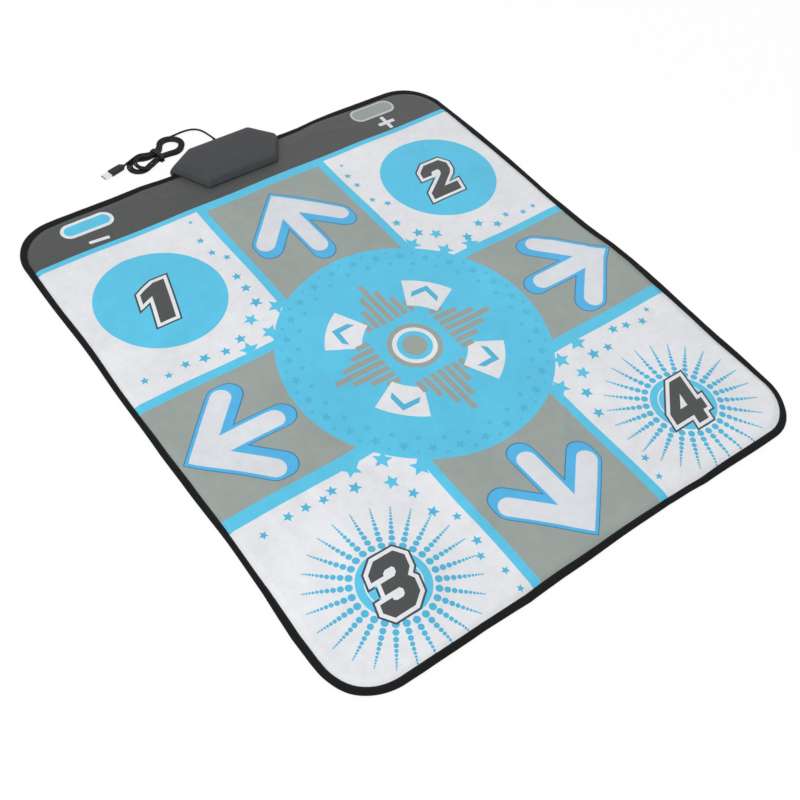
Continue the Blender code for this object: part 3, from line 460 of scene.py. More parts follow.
def dress(piece: Piece, finish: Finish, slot: str, smooth: float | None = None) -> Piece:
    """Gives a finished piece its finish and fastens it to the mat's body.

    Args:
        piece: the finished piece, its place in its mesh.
        finish: its surface finish.
        slot: the record's material slot that the finish stands for; not used.
        smooth: shade smooth below this angle in degrees, or None to leave the shading.

    Returns:
        The same piece.
    """
    piece.data.materials.clear()
    piece.data.materials.append(finish.material())
    if smooth is not None:
        focus(piece)
        bpy.ops.object.shade_smooth_by_angle(angle=math.radians(smooth), keep_sharp_edges=True)
    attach(piece, MAT_BODY)
    LOG.info("%s: %d faces", piece.name, len(getattr(piece.data, "polygons", [])))
    return piece


def focus(piece: Piece) -> None:
    """Deselects everything else and makes this piece the active one."""
    bpy.ops.object.select_all(action="DESELECT")
    piece.select_set(True)
    bpy.context.view_layer.objects.active = piece


def name_primitive(name: str) -> Piece:
    """Names the primitive that was just added and puts its place in its mesh."""
    piece = bpy.context.object
    piece.name = piece.data.name = name
    focus(piece)
    bpy.ops.object.transform_apply(location=True, rotation=True, scale=True)
    return piece


def block(name: str, size: Triple, place: Triple = (0.0, 0.0, 0.0), turn: float = 0.0) -> Piece:
    """A block by its size and its middle, turned round z by some degrees."""
    spot = Vector(place) * MM
    bpy.ops.mesh.primitive_cube_add(size=MM, location=spot, rotation=(0.0, 0.0, math.radians(turn)))
    bpy.context.object.scale = size
    return name_primitive(name)


def finish_modifier(piece: Piece, kind: str, **settings: Any) -> None:
    """Adds a modifier to a piece and applies it."""
    focus(piece)
    added = piece.modifiers.new(kind.lower(), kind)
    for name, value in settings.items():
        setattr(added, name, value)
    bpy.ops.object.modifier_apply(modifier=added.name)


def combine(piece: Piece, tool: Piece, operation: str = "DIFFERENCE") -> None:
    """Cuts a piece with another, or adds it. The other piece is used up."""
    finish_modifier(piece, "BOOLEAN", object=tool, operation=operation, solver="EXACT")
    bpy.data.objects.remove(tool, do_unlink=True)


def node_middle(name: str) -> Vector:
    """The middle of one of the frame's solids, in millimetres."""
    low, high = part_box(name)
    return (Vector(low) + Vector(high)) / 2 / MM


def polar(centre: Point, reach: float, angle: float) -> Point:
    """The point at a distance and an angle from another."""
    return centre[0] + reach * math.cos(angle), centre[1] + reach * math.sin(angle)


def turned(points: Iterable[Point], angle: float, shift: Point) -> list[Point]:
    """Turns points round the origin and then shifts them."""
    cos, sin = math.cos(angle), math.sin(angle)
    return [(shift[0] + x * cos - y * sin, shift[1] + x * sin + y * cos) for x, y in points]


def rounded_bar(centre: Point, half: Point, radius: float, steps: int = 8) -> list[Point]:
    """A rectangle with round corners, counter-clockwise. Its points suit a circle too."""
    spots = []
    for quarter, (sx, sy) in enumerate(((1, 1), (-1, 1), (-1, -1), (1, -1))):
        corner = (centre[0] + sx * (half[0] - radius), centre[1] + sy * (half[1] - radius))
        turns = [math.radians(90.0 * (quarter + k / steps)) for k in range(steps + 1)]
        spots += [polar(corner, radius, turn) for turn in turns]
    return spots


def rounded_corners(corners: Sequence[Point], radii: Sequence[float], steps: int) -> list[Point]:
    """Rounds the corners of a convex counter-clockwise outline with arcs."""
    spots = []
    for k, (corner, radius) in enumerate(zip(corners, radii)):
        here = Vector(corner)
        before = (Vector(corners[k - 1]) - here).normalized()
        after = (Vector(corners[(k + 1) % len(corners)]) - here).normalized()
        half = before.angle(after) / 2
        middle = here + (before + after).normalized() * (radius / math.sin(half))
        first = here + before * (radius / math.tan(half)) - middle
        for step in range(steps + 1):
            spots += turned([first], (math.pi - 2 * half) * step / steps, middle)
    return spots


def smooth_route(points: Sequence[Vector], spacing: float) -> list[Vector]:
    """Points about `spacing` apart along a smooth curve through `points`."""
    fine = []
    ends = [2 * points[0] - points[1], *points, 2 * points[-1] - points[-2]]
    for a, b, c, d in zip(ends, ends[1:], ends[2:], ends[3:]):
        for k in range(24):
            t = k / 24
            lead, turn = (c - a) * t, (2 * a - 5 * b + 4 * c - d) * t * t
            fine.append(0.5 * (2 * b + lead + turn + (3 * b - a - 3 * c + d) * t**3))
    fine.append(points[-1].copy())
    route, run = [fine[0]], 0.0
    for a, b in zip(fine, fine[1:]):
        run += (b - a).length
        if run >= spacing:
            route.append(b)
            run = 0.0
    if (route[-1] - fine[-1]).length < spacing / 2 and len(route) > 1:
        route.pop()
    return [*route, fine[-1]]


def join_pieces(name: str, pieces: Sequence[Piece]) -> Piece:
    """Joins pieces into the first of them, under a new name."""
    focus(pieces[0])
    for piece in pieces:
        piece.select_set(True)
    bpy.ops.object.join()
    joined = bpy.context.object
    joined.name = joined.data.name = name
    return joined


class Part(Enum):
    """What an edit-mode selection is made of: select mode and the mesh's own list."""

    CORNERS = ((True, False, False), "verts")
    EDGES = ((False, True, False), "edges")
    FACES = ((False, False, True), "faces")


class Bench:
    """Edit-mode work on one piece, for use in a with statement."""

    def __init__(self, piece: Piece) -> None:
        """Takes the piece to work on."""
        self.piece = piece

    def __enter__(self) -> "Bench":
        """Starts edit mode with all of the piece selected."""
        focus(self.piece)
        bpy.ops.object.mode_set(mode="EDIT")
        self.everything()
        return self

    def __exit__(self, *problem: object) -> None:
        """Ends edit mode."""
        bpy.ops.object.mode_set(mode="OBJECT")

    def pick(self, part: Part, test: Callable[[Any], bool]) -> None:
        """Selects only the corners, edges or faces that pass a test."""
        mode, kind = part.value
        bpy.context.tool_settings.mesh_select_mode = mode
        bm = bmesh.from_edit_mesh(self.piece.data)
        for item in (*bm.faces, *bm.edges, *bm.verts):
            item.select = False
        for item in getattr(bm, kind):
            if test(item):
                item.select_set(True)
        bm.select_flush_mode()
        bmesh.update_edit_mesh(self.piece.data)

    def everything(self) -> None:
        """Selects all of the piece."""
        bpy.ops.mesh.select_all(action="SELECT")

    def close_ends(self) -> None:
        """Fills the open outlines and turns every face outwards."""
        self.pick(Part.EDGES, lambda edge: len(edge.link_faces) == 1)
        bpy.ops.mesh.edge_face_add()
        self.everything()
        bpy.ops.mesh.normals_make_consistent(inside=False)


def start_face(name: str, corners: Sequence[Point], z: float, down: bool = False) -> Piece:
    """A flat face to model from: a filled circle whose corners move to their places."""
    bpy.ops.mesh.primitive_circle_add(vertices=len(corners), radius=MM, fill_type="NGON")
    piece = name_primitive(name)
    for index, (x, y) in zip(piece.data.polygons[0].vertices, corners):
        piece.data.vertices[index].co = (x * MM, y * MM, z * MM)
    if down:
        with Bench(piece):
            bpy.ops.mesh.flip_normals()
    return piece


def raise_face(steps: Iterable[Point]) -> None:
    """Insets and raises the selected face again and again: (inwards, along its normal)."""
    for inwards, along in steps:
        bpy.ops.mesh.inset(
            thickness=abs(inwards) * MM, depth=along * MM, use_outset=inwards < 0, use_even_offset=True
        )


def extrude(value: Vector | Triple) -> None:
    """Extrudes the selection by a shift in metres."""
    bpy.ops.mesh.extrude_region_move(TRANSFORM_OT_translate={"value": value})


def spun(name: str, profile: Sequence[Point], base: Vector, axis: Vector, steps: int = 32) -> Piece:
    """Spins a profile round an axis, as on a lathe.

    Args:
        name: the piece's name.
        profile: (distance along the axis, radius) from end to end, in millimetres. It
            starts and ends at radius 0 where the piece is closed.
        base: the point on the axis that distances are measured from.
        axis: the axis's direction.
        steps: how many sides the piece has.

    Returns:
        The spun piece.
    """
    side = Vector((1.0, 0.0, 0.0)) if abs(axis.x) < 0.5 else Y_AXIS
    spots = [(base + axis * along + side * radius) * MM for along, radius in profile]
    bpy.ops.mesh.primitive_plane_add(size=MM)
    piece = name_primitive(name)
    with Bench(piece) as bench:
        bench.pick(Part.CORNERS, lambda vert: vert.index > 0)
        bpy.ops.mesh.delete(type="VERT")
        bench.everything()
        first = bmesh.from_edit_mesh(piece.data).verts[:][0].co.copy()
        bpy.ops.transform.translate(value=spots[0] - first)
        for near, far in zip(spots, spots[1:]):
            extrude(far - near)
        bench.everything()
        bpy.ops.mesh.spin(steps=steps, angle=2.0 * math.pi, center=base * MM, axis=axis)
        bench.everything()
        bpy.ops.mesh.remove_doubles(threshold=0.000004)
        bpy.ops.mesh.normals_make_consistent(inside=False)
    return piece


def drum(name: str, base: Vector, axis: Vector, radius: float, length: float, steps: int = 24) -> Piece:
    """A plain cylinder, to cut with."""
    return spun(name, [(0.0, 0.0), (0.0, radius), (length, radius), (length, 0.0)], base, axis, steps)


def swept(name: str, path: np.ndarray, section: np.ndarray) -> Piece:
    """Carries a section along an open path in mesh code, for ties and threads.

    Args:
        name: the piece's name.
        path: the path's points.
        section: the section's points, (sideways, upwards), counter-clockwise.

    Returns:
        The closed tube.
    """
    ahead = np.roll(path, -1, 0) - np.roll(path, 1, 0)
    ahead[0], ahead[-1] = path[1] - path[0], path[-1] - path[-2]
    ahead /= np.linalg.norm(ahead, axis=1)[:, None]
    sideways = np.cross(ahead, np.array(Z_AXIS))
    sideways /= np.linalg.norm(sideways, axis=1)[:, None]
    upwards = np.cross(sideways, ahead)
    points = path[:, None] + sideways[:, None] * section[:, :1] + upwards[:, None] * section[:, 1:]
    return mesh_piece(name, points.reshape(-1, 3), ring_faces(len(path), len(section), closed=False))


# The mat's outline and surface


@dataclass(frozen=True)
class Side:
    """One side of the mat: how far its edge has crept outwards and how wide its tape lies.

    Both are lists of (place along the side, millimetres more), straight in between.
    """

    outwards: Point
    reach: float
    fade: float
    push: tuple[Point, ...]
    flap: tuple[Point, ...]

    def at(self, points: np.ndarray, listed: tuple[Point, ...]) -> np.ndarray:
        """A list's value beside each point, fading out away from the side's edge."""
        place = points @ np.abs(self.outwards[::-1])
        share = smooth_step((points @ np.array(self.outwards) - self.reach + self.fade) / self.fade)
        return np.interp(place, *zip(*listed)) * share


@dataclass(frozen=True)
class Rim:
    """The mat's outline, a rounded rectangle, and the slight wander of its sewn edge."""

    half_width: float = 400.0
    half_length: float = 462.5
    corner_radius: float = 75.0
    sides: tuple[Side, ...] = (
        Side(
            (1.0, 0.0), 400.0, 35.0,
            ((-388, -2.2), (-328, 2.4), (-209, 5.4), (-130, 9.4), (-95, 10.0), (-50, 7.8), (-20, 3.6),
             (10, 1.4), (89, 0.9), (278, 3.3), (308, 2.4), (388, -2.9)),
            ((-388, 0.0), (-300, 1.7), (-240, 0.8), (-145, 0.7), (-97, -0.6), (-48, 0.4), (0, 2.0),
             (97, 1.4), (145, 0.3), (242, 1.0), (291, 2.2), (339, 0.8), (388, 0.0)),
        ),
        Side(
            (-1.0, 0.0), 400.0, 35.0,
            ((-410, 1.5), (-375, 3.8), (-338, 3.8), (-268, -1.2), (-179, -2.8), (-70, -2.4),
             (-20, -0.8), (159, -2.3), (388, -1.3)),
            ((-388, -0.3), (-179, -2.2), (-79, 0.5), (40, -2.2), (179, -0.6), (278, -1.4), (388, 0.6)),
        ),
        Side(
            (0.0, -1.0), 462.5, 35.0,
            ((-345, -2.6), (-300, -1.2), (-205, -1.7), (-135, 2.0), (-75, -1.2), (115, -3.7),
             (155, -1.7), (185, 1.4), (325, 2.8), (350, 4.0)),
            ((-325, 0.3), (15, 0.8), (95, -0.8), (325, 0.6)),
        ),
        Side(
            (0.0, 1.0), 462.5, 82.5,
            ((-390, 0.0), (-325, 1.2), (-165, 4.0), (-135, 0.9), (-115, 0.2), (135, -0.2), (165, 2.6),
             (195, 3.8), (295, 4.3), (325, 3.0), (390, -1.0)),
            ((-360, 2.4), (-215, 1.8), (-130, 0.0), (95, 0.0), (165, -2.5), (255, 1.4), (325, 1.5)),
        ),
    )

    @property
    def inner(self) -> np.ndarray:
        """The middle of the corner arc on the mat's right rear."""
        return np.array([self.half_width, self.half_length]) - self.corner_radius

    def stations(self, spacing: float) -> tuple[np.ndarray, np.ndarray]:
        """Points round the outline and the directions outwards there.

        Args:
            spacing: about how far apart the points are.

        Returns:
            The points and the unit normals, counter-clockwise.
        """
        radius, ways = self.corner_radius, ((1, 1), (-1, 1), (-1, -1), (1, -1))
        turns = max(round(math.pi / 2 * radius / spacing), 4)
        spots, normals = [], []
        for quarter, signs in enumerate(ways):
            angles = np.radians(90.0 * quarter) + np.arange(turns + 1) * math.pi / 2 / turns
            arc = np.column_stack([np.cos(angles), np.sin(angles)])
            corner = self.inner * signs + radius * arc
            after = self.inner * ways[(quarter + 1) % 4] + radius * arc[-1]
            steps = max(round(np.linalg.norm(after - corner[-1]) / spacing), 1)
            share = (np.arange(1, steps) / steps)[:, None]
            spots += [corner, corner[-1] + (after - corner[-1]) * share]
            normals += [arc, np.repeat(arc[-1:], steps - 1, 0)]
        return np.vstack(spots), np.vstack(normals)

    def inset_of(self, points: np.ndarray) -> np.ndarray:
        """How far inside the outline each point is."""
        out = np.abs(points) - self.inner
        corner = np.linalg.norm(np.maximum(out, 0.0), axis=1) + np.minimum(out.max(1), 0.0)
        return self.corner_radius - corner

    def wander(self, points: np.ndarray) -> np.ndarray:
        """Moves points as the cloth has crept: the edges aren't quite straight."""
        x, y = points[:, 0], points[:, 1]
        across = 0.6 * np.sin(y / 31.0 + 1.3) + 0.5 * np.sin(y / 83.0 + x / 310.0 + 0.4)
        along = 0.6 * np.sin(x / 27.0 + 0.2) + 0.5 * np.sin(x / 71.0 - y / 280.0 + 2.2)
        moved = points + np.column_stack([across, along]) + 0.7 * points / (400.0, 462.5)
        for side in self.sides:
            moved += side.at(points, side.push)[:, None] * np.array(side.outwards)
        return moved

    def flap_of(self, points: np.ndarray) -> np.ndarray:
        """How much further in than usual the tape's upper flap reaches beside each point."""
        return sum(side.at(points, side.flap) for side in self.sides)

    def grid(self, step: float, rise: float, inset: float) -> np.ndarray:
        """Staggered rows of points, all more than `inset` inside the outline."""
        rows = np.arange(-self.half_length, self.half_length, rise)
        columns = np.arange(-self.half_width, self.half_width, step)
        spots = np.array([(x + step / 2 * (k % 2), y) for k, y in enumerate(rows) for x in columns])
        return spots[self.inset_of(spots) > inset]


RIM = Rim()


@dataclass(frozen=True)
class KeyField:
    """The stretch of sheet that gives way over one key.

    An arrow's field is a square whose inner side the middle disc cuts. A round key's is a
    disc, and a pill key's a rounded bar.
    """

    name: str
    slot: str
    centre: Point
    half: Point
    reach: float = 0.0
    heading: float = 0.0
    rise: float = 2.2

    @property
    def joint(self) -> str:
        """The joint that presses the key."""
        return f"press_{self.name}"

    @property
    def node(self) -> str:
        """The frame's solid that the printed patch stands for."""
        return f"key_{self.name}_face"


class Fields:
    """All key fields, their outlines, and how deep a point lies in them."""

    DISC_CENTRE = (0.0, -52.0)
    DISC_CLEAR = 213.0
    ARROW_HALF = 98.0
    ARROW_CORNER = 7.0

    def __init__(self) -> None:
        """Lists the fields."""
        grey, blue, white = "key_cloth_grey", "key_cloth_blue", "printed_cloth"
        middle, half = self.DISC_CENTRE, (self.ARROW_HALF, self.ARROW_HALF)
        self.all = [
            KeyField("up", grey, middle, half, 402.0, 0.0),
            KeyField("left", grey, middle, half, 371.0, math.pi / 2),
            KeyField("down", grey, middle, half, 384.0, math.pi),
            KeyField("right", grey, middle, half, 371.0, -math.pi / 2),
            KeyField("rear_left", blue, (-261.0, 226.0), (97.0, 97.0)),
            KeyField("rear_right", blue, (265.0, 229.0), (97.0, 97.0)),
            KeyField("front_left", white, (-258.0, -349.0), (85.0, 85.0)),
            KeyField("front_right", white, (262.0, -349.0), (85.0, 85.0)),
            KeyField("minus", blue, (-277.0, 423.5), (41.0, 13.0), rise=1.2),
            KeyField("plus", grey, (277.0, 423.5), (41.0, 13.0), rise=1.2),
        ]

    def outline(self, key: KeyField) -> list[Point]:
        """A field's outline, counter-clockwise."""
        if not key.reach:
            return rounded_bar(key.centre, key.half, min(key.half) - 0.01, 12)
        half, radius, bend = self.ARROW_HALF, self.DISC_CLEAR, self.ARROW_CORNER
        side = math.asin(half / radius)
        angles = (-side + 2 * side * k / 24 for k in range(25))
        local = [(radius * math.sin(a), radius * math.cos(a)) for a in angles]
        for sign, first in ((1, 0.0), (-1, 90.0)):
            corner = (sign * (half - bend), key.reach - bend)
            local += [polar(corner, bend, math.radians(first + 30.0 * k)) for k in range(4)]
        return turned(local, key.heading, key.centre)

    def rise_at(self, x: np.ndarray, y: np.ndarray) -> np.ndarray:
        """How far the foam pucks lift the sheet over the keys."""
        lift = np.zeros_like(x)
        for key in self.all:
            cos, sin = math.cos(key.heading), math.sin(key.heading)
            u = (x - key.centre[0]) * cos + (y - key.centre[1]) * sin
            v = (y - key.centre[1]) * cos - (x - key.centre[0]) * sin
            if key.reach:
                share = smooth_step((key.half[0] - np.abs(u)) / 46.0)
                share *= smooth_step((key.reach - v) / 46.0)
                share *= smooth_step((np.hypot(u, v) - self.DISC_CLEAR) / 40.0) * (v > 0)
            elif key.half[0] == key.half[1]:
                share = smooth_step((key.half[0] - np.hypot(u, v)) / 46.0)
            else:
                share = smooth_step((key.half[1] - np.abs(v)) / 11.0)
                share *= smooth_step((key.half[0] - np.abs(u)) / 18.0)
            lift += key.rise * share
        return lift


@dataclass(frozen=True)
class Fold:
    """A soft crease in the sheet: its middle, heading in degrees, size and height."""

    x: float
    y: float
    heading: float
    length: float
    width: float
    height: float

    def rise_at(self, x: np.ndarray, y: np.ndarray) -> np.ndarray:
        """The crease's height at points of the sheet."""
        angle = math.radians(self.heading)
        along = (x - self.x) * math.cos(angle) + (y - self.y) * math.sin(angle)
        across = (y - self.y) * math.cos(angle) - (x - self.x) * math.sin(angle)
        across = (across + 5.0 * np.sin(along / 23.0)) / self.width
        ends = smooth_step(1.0 - (np.abs(along) / (self.length / 2)) ** 2)
        return self.height * ends * (1.0 - 0.9 * across) * np.exp(-across * across)


FOLDS = [
    Fold(*row)
    for row in (
        (-275, 262, 90, 220, 9, 0.9), (-352, 190, 84, 190, 12, 0.7), (-160, 440, -58, 60, 6, 1.5),
        (-205, 446, -74, 42, 5, 1.2), (-138, 418, 12, 80, 7, 0.9), (120, 432, 24, 90, 8, 1.0),
        (196, 420, -8, 110, 9, 0.6), (-372, -128, 58, 60, 5.5, 1.5), (-350, -144, 38, 48, 4.5, 1.1),
        (-236, -92, 63, 130, 8, 0.9), (-340, -268, 88, 220, 11, 0.9), (-266, -214, 92, 130, 9, 0.8),
        (-212, -250, 80, 170, 10, 0.8), (-120, -330, 86, 210, 10, 0.6), (74, -292, 56, 130, 7, 1.3),
        (92, -272, 50, 90, 5, 1.0), (-62, -236, 20, 70, 7, 0.8), (70, -412, 74, 90, 8, 0.8),
        (352, 20, 32, 90, 6, 1.3), (372, -16, 52, 70, 5.5, 1.2), (230, -118, 40, 110, 9, 0.8),
        (330, -222, 12, 150, 11, 0.8), (196, -404, -34, 120, 10, 0.8), (330, 108, -14, 150, 10, 0.8),
        (180, 300, 66, 150, 11, 0.7), (24, 66, -22, 190, 13, 0.8), (-74, -20, 40, 160, 12, 0.8),
        (70, -130, -52, 170, 12, 0.9), (6, 360, 3, 190, 8, 0.7),
    )
]


@dataclass(frozen=True)
class Surface:
    """The height of the printed sheet's top over the floor."""

    rim_level: float = 4.55
    level: float = 7.6
    pressed_level: float = 7.15
    roll: Point = (9.5, 19.0)
    slope_step: float = 0.4

    @staticmethod
    def _under_box(x: np.ndarray, y: np.ndarray) -> np.ndarray:
        """1 where the control box presses on the sheet, fading out round it."""
        right = 0.847 * (x - 57.5) - 0.532 * (y - 400.0)
        left = -0.896 * (x + 75.5) - 0.445 * (y - 400.0)
        return 1.0 - smooth_step((np.maximum(400.0 - y, np.maximum(right, left)) - 1.0) / 9.0)

    def height(self, points: np.ndarray) -> np.ndarray:
        """The top's height at points of the flat layout."""
        x, y = points[:, 0], points[:, 1]
        inset = RIM.inset_of(points) - RIM.flap_of(points)
        start, end = self.roll
        inside = smooth_step((inset - start) / (end - start))
        soft = 0.11 * np.sin(x / 17.0 + y / 43.0) + 0.14 * np.sin(y / 26.0 - x / 61.0 + 1.0)
        soft += 0.22 * np.sin(x / 52.0 + 0.7) * np.sin(y / 47.0 + 2.1)
        near_side = np.exp((np.abs(x) - RIM.half_width) / 21.0)
        near_end = np.exp((np.abs(y) - RIM.half_length) / 21.0)
        side_wave = np.sin(y / 4.3 + 0.8 * np.sin(y / 37.0)) * (0.5 + 0.3 * np.sin(y / 53.0))
        end_wave = np.sin(x / 4.6 + 0.9 * np.sin(x / 41.0)) * (0.5 + 0.3 * np.sin(x / 59.0))
        pucker = near_side * (0.4 + side_wave) + near_end * (0.4 + end_wave)
        top = self.rim_level + (self.level - self.rim_level) * inside
        top += inside * (FIELDS.rise_at(x, y) + soft + sum(fold.rise_at(x, y) for fold in FOLDS))
        top += 0.6 * pucker * smooth_step((inset - start) / 7.0)
        return top + np.minimum(self.pressed_level - top, 0.0) * self._under_box(x, y)

    def normals(self, points: np.ndarray) -> np.ndarray:
        """The top's unit normals at points of the flat layout."""
        shifts = np.eye(2) * self.slope_step
        rises = [self.height(points - shift) - self.height(points + shift) for shift in shifts]
        slopes = np.column_stack(rises) / (2.0 * self.slope_step)
        normals = np.column_stack([slopes, np.ones(len(points))])
        return normals / np.linalg.norm(normals, axis=1)[:, None]


FIELDS = Fields()
SURFACE = Surface()


# The print


class Ink(Enum):
    """The printed colours, out of 255."""

    WHITE = (230, 232, 236)
    ARROW_WHITE = (221, 224, 229)
    SKY = (84, 197, 233)
    DEEP_SKY = (74, 179, 232)
    EDGE_BLUE = (50, 122, 162)
    TONE = (74, 181, 219)
    GREY = (151, 160, 155)
    SLATE = (67, 68, 68)
    CHARCOAL = (62, 63, 64)
    OUTLINE = (50, 61, 70)
    PALE = (196, 200, 201)

    def paint(self) -> tuple[float, float, float, float]:
        """The colour as shaders take it."""
        return (*linear(*self.value), 1.0)


Print = Iterator[tuple[Ink, Sequence[Point]]]


def box(x0: float, x1: float, y0: float, y1: float) -> list[Point]:
    """A plain rectangle."""
    return [(x0, y0), (x1, y0), (x1, y1), (x0, y1)]


def circle(centre: Point, radius: float, sides: int = 72) -> list[Point]:
    """A circle."""
    return [polar(centre, radius, 2.0 * math.pi * k / sides) for k in range(sides)]


def star(centre: Point, radius: float, turn: float, waist: float = 0.46) -> list[Point]:
    """A five-pointed star."""
    return [polar(centre, (radius, radius * waist)[k % 2], turn + k * math.pi / 5) for k in range(10)]


def grown(points: Sequence[Point], distance: float) -> list[Point]:
    """Moves every side of a counter-clockwise outline outwards, with mitred corners."""
    moved = []
    for k, corner in enumerate(points):
        here = Vector(corner)
        into = (here - Vector(points[k - 1])).normalized()
        out = (Vector(points[(k + 1) % len(points)]) - here).normalized()
        middle = Vector((into.y + out.y, -into.x - out.x)).normalized()
        reach = distance / max(middle.dot(Vector((into.y, -into.x))), 0.42)
        moved.append(tuple(here + middle * reach))
    return moved


DIGITS: dict[str, list[list[Point]]] = {
    "1": [[(-10, -39), (15, -39), (15, 39), (-3, 39), (-27, 25), (-27, 6), (-10, 14)]],
    "2": [
        [(-28, -39), (28, -39), (28, -20), (1, -20), (24, 3), (28, 11), (28, 26), (16, 39), (-15, 39),
         (-28, 26), (-28, 12), (-9, 12), (-9, 17), (-5, 20), (5, 20), (8, 17), (8, 11), (5, 6),
         (-28, -24)],
        [(-6, -4), (5, 6), (8, 11), (8, 17), (5, 20), (-5, 20), (-9, 17), (-9, 6.6), (-2.4, 6.6)],
    ],
    "3": [
        [(-28, -26), (-15, -39), (15, -39), (28, -26), (28, -8), (21, 0), (28, 9), (28, 26), (15, 39),
         (-15, 39), (-28, 26), (-28, 15), (-9, 15), (-9, 18), (-5, 21), (5, 21), (8, 18), (8, 12),
         (4, 8), (-17, 8), (-17, -8), (4, -8), (8, -12), (8, -18), (5, -21), (-5, -21), (-9, -18),
         (-9, -15), (-28, -15)],
        [(-17, 8), (4, 8), (8, 12), (8, 18), (5, 21), (-5, 21), (-9, 18), (-9, 15), (-22.4, 15),
         (-22.4, 8)],
        [(-22.4, -8), (-22.4, -15), (-9, -15), (-9, -18), (-5, -21), (5, -21), (8, -18), (8, -12),
         (4, -8), (-17, -8)],
    ],
    "4": [
        [(3, -39), (22, -39), (22, -24), (31, -24), (31, -6), (22, -6), (22, 39), (-1, 39), (-31, -5),
         (-31, -24), (3, -24)],
        [(-11, -6), (3, -6), (3, 15)],
    ],
}


